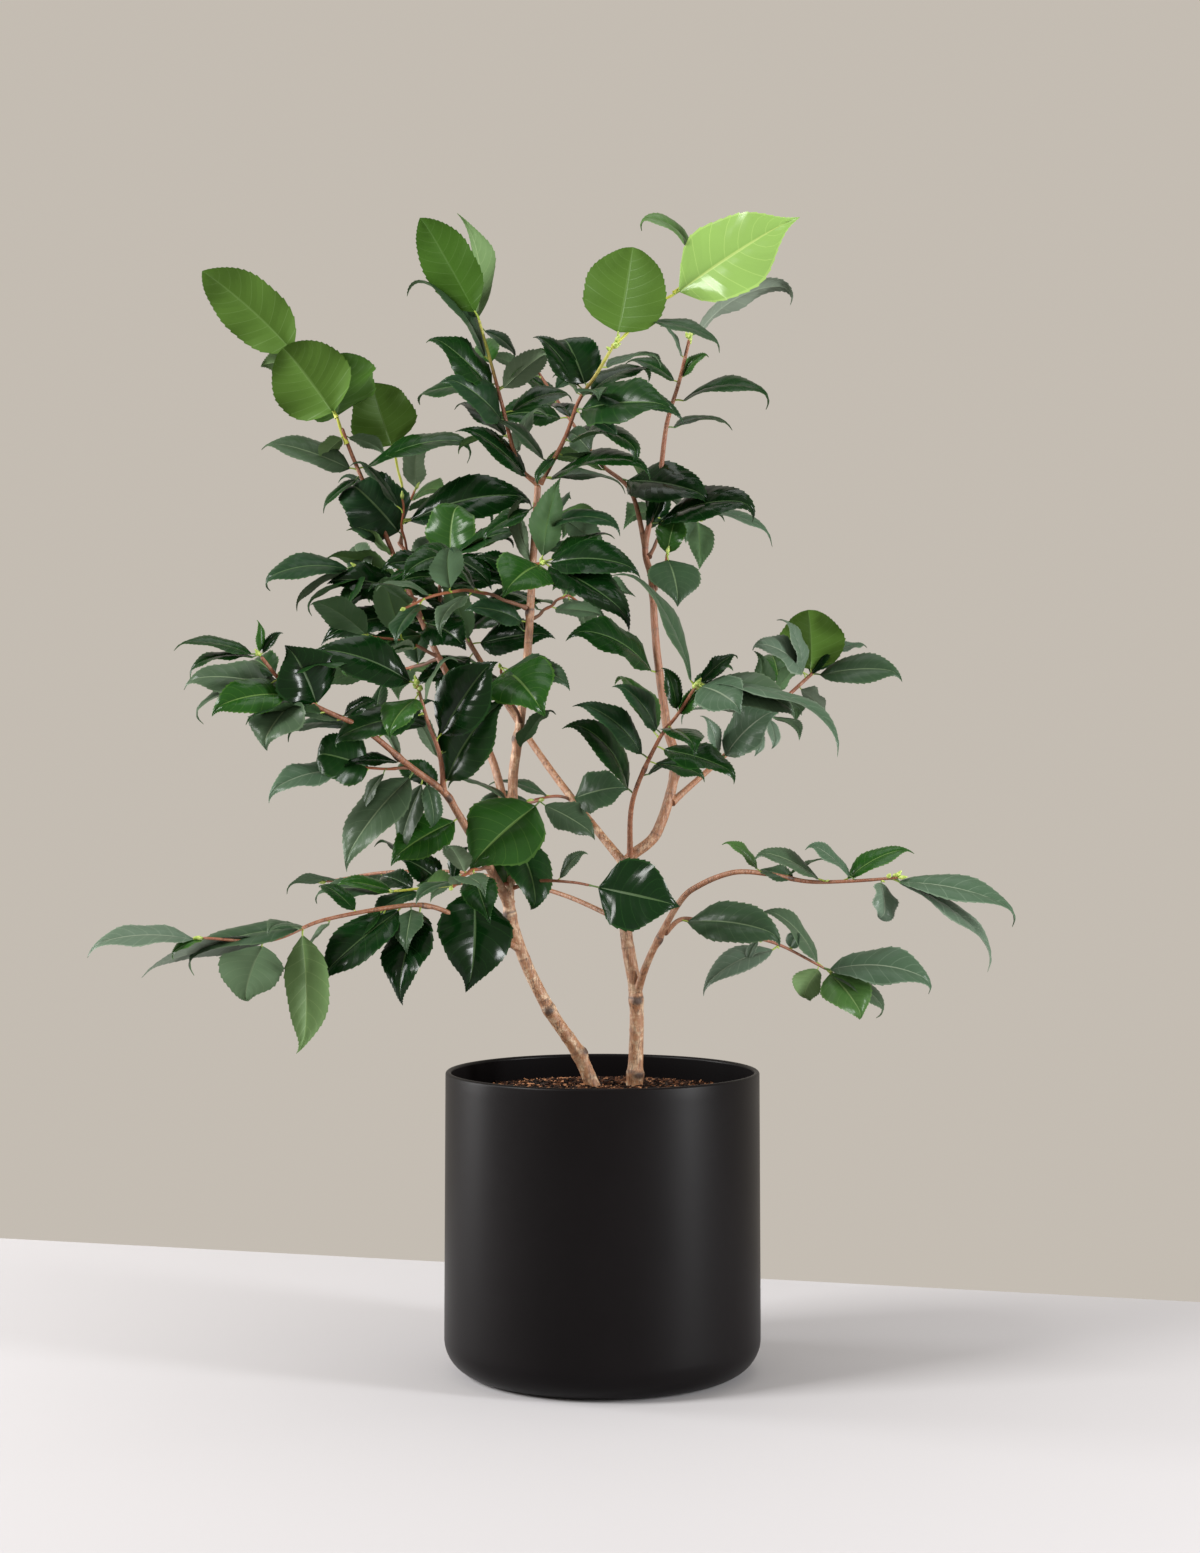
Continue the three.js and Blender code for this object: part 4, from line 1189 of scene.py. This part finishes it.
@dataclass
class Wood:
    """The stems and boughs, each with real bark relief.

    A knot's sizes are its length in millimetres and its width in radians; heights are shares of the radius.
    """

    seed: int = 500
    sides: int = 26
    spacing: float = 1.5
    collar: float = 1.35
    collar_fade: float = 7.0
    ripple: float = 0.088
    ripples: int = 16
    grain: float = 0.006
    knot_size: Pair = (4.2, 0.75)
    knot_swell: Pair = (0.14, 0.42)
    eye_size: Pair = (1.6, 0.3)
    eye_depth: float = 0.22
    stain_size: Pair = (3.0, 0.7)
    ring_gap: Pair = (27.0, 12.0)
    ring_height: float = 0.06
    finish: BarkFinish = field(default_factory=BarkFinish)

    def relief(self, share: Array, front: Array, limb: Limb, length: float,
               chance: Chance) -> tuple[Array, Array]:
        """Height of the bark over a smooth tube, and how much of a knot each place is.

        Args:
            share: share of the length at each ring.
            front: angle round the limb that faces the front, at each ring.
            limb: the limb.
            length: its length, in millimetres.
            chance: random numbers.

        Returns:
            Extra radius over radius, and a share from 0 to 1 of knot, for each ring and side.
        """
        s, a = np.meshgrid(share * length, turns(self.sides), indexing="ij")
        a = a - front[:, None]
        height, scar = np.zeros_like(s), np.zeros_like(s)
        for _ in range(self.ripples):
            ways = chance.integers(1, 7)
            wave, lag, size = chance.uniform(0.03, 0.35), chance.uniform(0, LAP), chance.uniform(0.2, 1.0)
            height += size * np.sin(ways * a + wave * s + lag) / self.ripples
        height = height * self.ripple + chance.normal(0, self.grain, s.shape)
        for knot in limb.knots:
            off = s - knot * length
            beside = np.angle(np.exp(1j * (a - chance.uniform(-1.3, 1.3))))
            swell, eye, stain = (hill(off, size[0]) * hill(beside, size[1])
                                 for size in (self.knot_size, self.eye_size, self.stain_size))
            height += self.knot_swell[0] * hill(off, self.knot_size[0]) + self.knot_swell[1] * swell
            height -= self.eye_depth * eye
            scar = np.maximum(scar, np.maximum(stain, 0.7 * hill(off - 2.6, 1.0)))
        start, gap = chance.uniform(10, 25), self.ring_gap[0] + self.ring_gap[1] * chance.random()
        for ring in np.arange(start, length, gap):
            line = hill(s - ring - 0.5 * np.sin(a + ring), 0.9)
            height += self.ring_height * line
            scar = np.maximum(scar, 0.42 * line)
        return height, scar

    def build(self) -> dict[str, Route]:
        """Makes every limb.

        Returns:
            Their lines, by name.
        """
        material = self.finish.make()
        routes = {name: Route(limb.route) for name, limb in LIMBS.items()}
        for number, (name, limb) in enumerate(LIMBS.items()):
            route = routes[name]
            path, share = route.rings(self.spacing)
            radius = limb.radii[0] + (limb.radii[1] - limb.radii[0]) * share ** 0.85
            radius *= 1 + (self.collar - 1) * np.exp(-share * route.length / self.collar_fade)
            radius[-1] *= 0.5
            side, up = frames_along(path)
            front = np.arctan2(up @ FRONT, side @ FRONT)
            chance = np.random.default_rng(self.seed + number)
            height, scar = self.relief(share, front, limb, route.length, chance)
            age = (limb.age[0] + (limb.age[1] - limb.age[0]) * share)[:, None]
            heap = Heap()
            heap.tube(path, radius, self.sides, 0, height * radius[:, None])
            values = {"age": np.broadcast_to(age, scar.shape), "knot": scar}
            heap.build(f"wood_{name}", [material], "bark", limb.nodes, 80, values)
        return routes


# ---------------------------------------------------------------- shoots


@dataclass
class Crown:
    """Twigs, leaf stalks, buds and leaves, grown on from the limbs."""

    routes: dict[str, Route]
    blade: Blade = field(default_factory=Blade)
    paints: Paintbox = field(default_factory=Paintbox)
    stalk: float = 7.5
    stalk_radius: float = 0.72
    zigzag: float = 1.1
    leaf_gap: float = 16
    turn_step: float = 2.4
    tip_bud: Pair = (7.5, 1.7)
    side_bud: Pair = (3.4, 0.9)
    side_bud_share: float = 0.4
    leaf_heaps: dict[str, Heap] = field(default_factory=dict)
    twigs: Heap = field(default_factory=Heap)
    stalks: Heap = field(default_factory=Heap)
    buds: Heap = field(default_factory=Heap)

    def build(self) -> None:
        """Grows every shoot and makes the joined pieces."""
        for shoot in SHOOTS:
            self.grow(shoot)
        self.twigs.build("twigs", dress(TWIGS), "twig")
        self.stalks.build("leaf_stalks", dress(STALKS), "twig")
        self.buds.build("buds", dress(BUDS), "bud")
        for group, nodes in LEAF_GROUPS.items():
            slot = "young_leaf" if group.startswith("leaves_top") else "leaf"
            self.leaf_heaps[group].build(group, self.paints.materials, slot, nodes, 62)

    def grow(self, shoot: Shoot) -> None:
        """Adds one shoot's twig, leaves and bud.

        Args:
            shoot: the shoot.
        """
        chance = np.random.default_rng(shoot.seed)
        route = self.routes[shoot.on] if shoot.on else Route(shoot.route)
        if not shoot.on:
            self.twig(route, shoot, chance)
        grown = (*shoot.leaves, *self.by_rule(shoot, route, chance))
        for leaf in grown:
            self.leaf(leaf, shoot, route, chance)
        log.debug("shoot %s: %d leaves", shoot.name, len(grown))
        end, way = route.at(1.0), route.way(1.0)
        if shoot.bud is not Bud.NONE:
            self.bud(end, way, self.tip_bud, chance)
        if shoot.bud is Bud.CLUSTER:
            for _ in range(3):
                out = unit(way + chance.normal(0, 0.55, 3) + UP * 0.3)
                at = end - way * chance.uniform(1, 9)
                self.bud(at + out * 1.2, out, (chance.uniform(5, 8), chance.uniform(1.5, 2.5)), chance)

    def twig(self, route: Route, shoot: Shoot, chance: Chance) -> None:
        """Adds a thin twig that steps a little at each leaf.

        Args:
            route: its line.
            shoot: whose twig it is.
            chance: its random numbers.
        """
        path, share = route.rings(2.2)
        beat = share * route.length / self.leaf_gap
        swing = np.array([math.sin(3.1 * shoot.seed), math.cos(3.1 * shoot.seed), 0.2])
        path = path + swing * (self.zigzag * np.sin(math.pi * beat) * smooth(share / 0.2))[:, None]
        radius = shoot.radii[0] + (shoot.radii[1] - shoot.radii[0]) * share
        radius *= 1 + 0.13 * np.cos(math.pi * beat) ** 8
        radius *= 1 + 0.5 * np.exp(-share * route.length / 4)
        age = shoot.age[0] + (shoot.age[1] - shoot.age[0]) * share[:-1]
        slots = np.select([age < 0.66, age < 0.9], [0, 1], 2)
        self.twigs.tube(path, radius + chance.normal(0, 0.03, len(radius)), 10, slots)

    def by_rule(self, shoot: Shoot, route: Route, chance: Chance) -> list[Leaf]:
        """Leaves grown by rule: spaced along the shoot, a fixed turn apart, spread and drooping outwards.

        Args:
            shoot: whose leaves they are.
            route: its line.
            chance: its random numbers.

        Returns:
            The leaves.
        """
        grown = []
        start = chance.uniform(0, LAP)
        low, high = shoot.span
        for number in range(shoot.grown):
            at = low + (high - low) * (number + chance.uniform(0.2, 0.8)) / shoot.grown
            way = route.way(at)
            side = unit(np.cross(way, UP + [0.05, 0, 0]))
            spoke = rotation_about(way, start + number * self.turn_step + chance.normal(0, 0.25)) @ side
            spread = math.radians(chance.uniform(48, 78)) * (1 - 0.45 * at ** 4)
            tip = unit(way * math.cos(spread) + spoke * math.sin(spread) + np.array(shoot.lean) * 0.8)
            tip = unit(tip * [1, 1, 0.7] + [0, 0, chance.uniform(-0.38, 0.12)])
            angle = math.degrees(math.atan2(tip[2], tip[0]))
            forward = math.degrees(math.asin(np.clip(-tip[1], -1, 1)))
            toward, across = facing(tip)
            sky = UP + 0.45 * unit(route.at(at) * [0.5, 1, 0]) + chance.normal(0, 0.22, 3)
            turn = math.degrees(math.atan2(sky @ across, sky @ toward))
            length = shoot.size * chance.uniform(0.72, 1.2)
            # the grey family, drawn here too, is partly painted sheen
            tint = chance.choice([DARK, DARK, DEEP, MID, GREY_AND_SHEEN])
            grown.append(Leaf(at, angle, forward, length, turn, tint))
        return grown

    def leaf(self, leaf: Leaf, shoot: Shoot, route: Route, chance: Chance) -> None:
        """Adds one leaf, its stalk and now and then a bud beside it.

        Args:
            leaf: how it sits.
            shoot: whose leaf it is.
            route: the line of its shoot.
            chance: the shoot's random numbers.
        """
        way, along = leaf.way(), route.way(leaf.at)
        root = route.at(min(leaf.at, 1.0))
        stalk = self.stalk * chance.uniform(0.75, 1.2) * min(1.0, leaf.length / 60)
        base = root + unit(way + 0.35 * along) * stalk
        points = self.blade.grow(leaf, base, chance)
        tint = leaf.tint or shoot.tint
        slots = self.blade.parts + self.paints.pick(tint, chance.random())
        self.leaf_heaps.setdefault(shoot.group, Heap()).add(points, self.blade.faces, slots)
        t = np.linspace(0, 1, 7)[:, None]
        bow = root + along * stalk * 0.45
        path = root * (1 - t) ** 2 + bow * 2 * t * (1 - t) + (base + way * 0.8) * t * t
        radius = self.stalk_radius * (leaf.length / 75) ** 0.4 * np.array([1.5, 1.15, 1, 1, 1, 1, 0.9])
        young = tint in (FRESH, BRIGHT, SOFT) or chance.random() < 0.55
        self.stalks.tube(path, radius, 8, 0 if young else 1)
        if chance.random() < self.side_bud_share:
            self.bud(root + unit(way + along) * 1.6, unit(way * 0.5 + along), self.side_bud, chance)

    def bud(self, at: Array, way: Array, size: Pair, chance: Chance) -> None:
        """Adds one pointed bud wrapped in scales.

        Args:
            at: where it starts, in millimetres.
            way: unit vector to its tip.
            size: its length and radius.
            chance: the shoot's random numbers.
        """
        length, radius = size
        t = np.linspace(0, 1, 12)
        scale = (np.floor(t * 4) % 2).astype(int)
        swell = np.sin(math.pi * np.clip(t * 0.93 + 0.07, 0, 1)) ** 0.8 * (1 - 0.35 * t)
        relief = 0.08 * radius * np.cos(3 * turns(10) + chance.uniform(0, 6))[None, :] * swell[:, None]
        path = at + way * (t * length)[:, None]
        self.buds.tube(path, radius * swell * (1 + 0.10 * scale) + 0.05, 10, scale[:-1], relief)


# ---------------------------------------------------------------- pot and soil


def arc(r: float, z: float, size: float, start: float, stop: float, count: int) -> Array:
    """Points of an arc about a centre, with its ends in degrees."""
    a = np.radians(np.linspace(start, stop, count))
    return np.stack([r + size * np.cos(a), z + size * np.sin(a)], 1)


@dataclass
class Pot:
    """The round pot with its eased rim and rounded foot."""

    wall: float = 4.5
    floor: float = 8.0
    corner: float = 27.0
    draft: float = 1.0
    hub: float = 0.6
    lip_points: int = 13
    segments: int = 180
    finish: PotFinish = field(default_factory=PotFinish)

    def profile(self, radius: float, height: float) -> Array:
        """Half section from the middle of the underside, over the rim, to the middle of the floor.

        Args:
            radius: at the widest, in millimetres.
            height: of the rim.

        Returns:
            Distance from the axis and height of each point.
        """
        rim, lip = radius - self.draft, self.wall / 2
        flat, inner = radius - self.corner, self.corner - self.wall
        t = np.linspace(0, 1, 24)[1:-1, None]
        low, high = np.array([radius, self.corner]), np.array([rim, height - lip])
        outside = low * (1 - t) + high * t
        inside = (high - [self.wall, 0]) * (1 - t) + (low - [self.wall, 0]) * t
        spread = np.linspace(self.hub, flat, 8)[:-1]
        under, bottom = (np.stack([spread, np.full(7, level)], 1) for level in (0.0, self.floor))
        return np.vstack([
            under, arc(flat, self.corner, self.corner, -90, 0, 20), outside,
            arc(rim - lip, height - lip, lip, 0, 180, self.lip_points), inside,
            arc(flat, self.floor + inner, inner, 0, -90, 10), bottom[::-1]])

    def build(self) -> None:
        """Makes the pot."""
        low, high = (np.array(c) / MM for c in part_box("pot"))
        section = self.profile((high[0] - low[0]) / 2, high[2])
        turn, m = turns(self.segments), self.segments
        ring = np.stack([np.cos(turn), np.sin(turn)], 1)
        heights = np.repeat(section[:, 1, None, None], m, 1)
        points = np.concatenate([section[:, None, 0, None] * ring, heights], 2)
        faces, end = skin(len(section), m), m // 2 - 1
        slots = np.arange(len(faces)) >= (np.argmax(section[:, 1]) + self.lip_points // 2) * m
        slots[-2 * end:-end] = False  # the underside
        heap = Heap()
        heap.add(points.reshape(-1, 3), faces, slots)
        heap.build("pot_shell", self.finish.make(), "pot", ("pot",), 60)


CORNERS = np.array([[x, y, z] for z in (-1, 1) for y in (-1, 1) for x in (-1, 1)], float)
SIDES = np.array([[0, 2, 3, 1], [4, 5, 7, 6], [0, 1, 5, 4], [2, 6, 7, 3], [0, 4, 6, 2], [1, 3, 7, 5]])


@dataclass
class Soil:
    """Loose mix in the pot: an uneven surface under a scatter of crumbs."""

    crumbs: int = 6200
    rings: int = 64
    spokes: int = 150
    seed: int = 7
    fall: float = 6.0
    wave: float = 0.55
    rough: float = 0.45
    depth: float = 25.0
    long_share: float = 0.38
    shares: tuple[float, ...] = (0.36, 0.32, 0.22, 0.10)
    finish: SoilFinish = field(default_factory=SoilFinish)

    def __post_init__(self) -> None:
        """Takes its size from the frame, and starts its random numbers."""
        low, high = (np.array(c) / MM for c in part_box("soil"))
        self.reach, self.top = (high[0] - low[0]) / 2 - 1.0, high[2] - 0.4
        self.chance = np.random.default_rng(self.seed)

    def height(self, x: Array | float, y: Array | float) -> Array | float:
        """Height of the mix: level in the middle, lower at the wall, and uneven.

        Args:
            x: place in the pot, in millimetres.
            y: the same, from front to back.

        Returns:
            The height there.
        """
        base = self.top - self.fall * smooth((np.hypot(x, y) / self.reach - 0.45) / 0.55)
        wave = np.sin(x / 9 + 1) * np.cos(y / 11 + 2)
        wave += 0.6 * np.sin(x / 4.3 - y / 5.1) + 0.5 * np.cos(x / 3.1 + y / 2.7)
        return base + self.wave * wave

    def build(self) -> None:
        """Makes the bed and its crumbs."""
        radii = np.linspace(0, self.reach, self.rings)
        radii[0] = 0.4
        x, y = radii[:, None] * np.cos(turns(self.spokes)), radii[:, None] * np.sin(turns(self.spokes))
        z = self.height(x, y) + self.chance.normal(0, self.rough, x.shape) * np.clip(radii / 8, 0, 1)[:, None]
        z[0] = z[0].mean()
        skirt = np.stack([x[-1], y[-1], np.full(self.spokes, self.top - self.fall - self.depth)], -1)
        faces, wall = skin(self.rings + 1, self.spokes)[:, ::-1], slice(self.rings * self.spokes)
        faces[wall] = np.roll(faces[wall], 1, axis=1)
        bed = Heap()
        bed.add(np.vstack([np.stack([x, y, z], -1).reshape(-1, 3), skirt]), faces, 0)
        bed.build("soil_bed", [self.finish.make()], "soil", ("soil",), 180)
        heap = Heap()
        for _ in range(self.crumbs):
            self.crumb(heap)
        heap.build("soil_crumbs", dress(CRUMBS), "soil", crease=20)

    def crumb(self, heap: Heap) -> None:
        """Adds one crumb of bark or peat, as a small uneven box of one of the shades.

        Args:
            heap: the crumbs' mesh.
        """
        chance = self.chance
        r, a = self.reach * math.sqrt(chance.random()) * 0.99, chance.uniform(0, LAP)
        x, y = r * math.cos(a), r * math.sin(a)
        lengths = (1.6, 3.8) if chance.random() < self.long_share else (0.6, 1.7)
        size = np.array([chance.uniform(*span) for span in (lengths, (0.35, 1.0), (0.3, 0.8))])
        lump = CORNERS * size * chance.uniform(0.65, 1.15, (8, 3))
        lump = lump @ rotation_about(unit(chance.normal(0, 1, 3)), chance.uniform(-0.7, 0.7)).T
        lump = lump @ rotation_about(UP, chance.uniform(0, LAP)).T
        place = [x, y, float(self.height(x, y)) + chance.uniform(-0.2, 1.1)]
        heap.add(lump + place, SIDES, int(chance.choice(4, p=self.shares)))


# ---------------------------------------------------------------- stage


@dataclass(frozen=True)
class Lamp:
    """A soft rectangular light: its place and size in metres, its power in watts and its colour."""

    name: str
    place: Point
    size: Pair
    power: float
    colour: Colour = (1.0, 1.0, 1.0)


@dataclass
class Studio:
    """Floor, light and camera."""

    distance: float = 2.08
    eye: float = 0.476
    aside: float = -0.002
    lens: float = 60.0
    sensor: float = 36.0
    target: Point = (0.0, 0.0, 0.45)
    wall: Colour = (0.552, 0.505, 0.446)
    floor: Colour = (0.462, 0.453, 0.468)
    floor_turn: float = -15.6
    floor_back: float = 0.40
    floor_half: float = 1.6
    floor_thickness: float = 0.03
    lamps: tuple[Lamp, ...] = (
        Lamp("key", (-3.4, -1.62, 2.55), (1.5, 1.5), 235, (1.0, 0.99, 0.975)),
        Lamp("top", (0.0, 0.1, 2.6), (1.4, 1.4), 14, (0.97, 0.99, 1.0)),
        Lamp("left_strip", (-1.9, 0.42, 0.62), (0.55, 1.1), 27),
        Lamp("right_strip", (1.75, -0.9, 0.62), (0.3, 1.1), 46, (0.98, 0.99, 1.0)),
    )

    def build(self) -> None:
        """Makes the camera first, then the light and the floor."""
        self.camera()
        scene = bpy.context.scene
        scene.world = bpy.data.worlds.new("room")
        scene.world.use_nodes = True
        scene.world.node_tree.nodes["Background"].inputs["Color"].default_value = (*self.wall, 1)
        scene.view_settings.view_transform = "Standard"
        for lamp in self.lamps:
            self.light(lamp)
        self.ground()

    def camera(self) -> None:
        """A level camera in front of the plant, at the height of its lowest leaves."""
        data = bpy.data.cameras.new("camera")
        data.lens, data.sensor_width = self.lens, self.sensor
        camera = bpy.data.objects.new("camera", data)
        camera.location = (self.aside, -self.distance, self.eye)
        camera.rotation_euler = (math.radians(90), 0, 0)
        bpy.context.scene.collection.objects.link(camera)
        bpy.context.scene.camera = camera

    def light(self, lamp: Lamp) -> None:
        """Hangs one light, facing the plant.

        Args:
            lamp: the light.
        """
        data = bpy.data.lights.new(lamp.name, "AREA")
        data.shape = "RECTANGLE"
        data.size, data.size_y = lamp.size
        data.energy, data.color = lamp.power, lamp.colour
        thing = bpy.data.objects.new(lamp.name, data)
        back = unit(np.array(lamp.place) - self.target)
        side = unit(np.cross(UP, back))
        rows = np.stack([side, np.cross(back, side), back, lamp.place], 1)
        thing.matrix_world = Matrix([*rows.tolist(), [0, 0, 0, 1]])
        bpy.context.scene.collection.objects.link(thing)

    def ground(self) -> None:
        """A plain pale floor whose far edge runs a little askew behind the pot."""
        half, back = self.floor_half, self.floor_back
        corners = np.array([[-half, -2 * half + back, 0], [half, -2 * half + back, 0], [half, back, 0],
                            [-half, back, 0]])
        corners = corners @ rotation_about(UP, math.radians(self.floor_turn)).T
        mesh = bpy.data.meshes.new("floor")
        mesh.from_pydata([*corners, *(corners - UP * self.floor_thickness)], [],
                         [(0, 1, 2, 3), (7, 6, 5, 4), (0, 4, 5, 1), (1, 5, 6, 2), (2, 6, 7, 3), (3, 7, 4, 0)])
        floor = bpy.data.objects.new("floor", mesh)
        n = Nodes("floor_pale", 0.15)
        tone = n.noise(3, 2, 0.5)
        colour = n.mix(n.span(tone, 0.3, 0.7, 0, 1), self.floor, tuple(0.985 * c for c in self.floor))
        mesh.materials.append(n.join(colour, n.span(tone, 0.3, 0.7, 0.65, 0.75), tone, 0.0001, 0.1))
        bpy.context.scene.collection.objects.link(floor)


def main() -> None:
    """Builds the scene and reports each piece."""
    logging.basicConfig(level=logging.INFO, format="%(message)s")
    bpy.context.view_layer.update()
    Studio().build()
    Pot().build()
    Soil().build()
    crown = Crown(Wood().build())
    crown.build()
    log.info("leaves: %d", sum(len(heap.points) for heap in crown.leaf_heaps.values()))


if __name__ == "__main__":
    main()
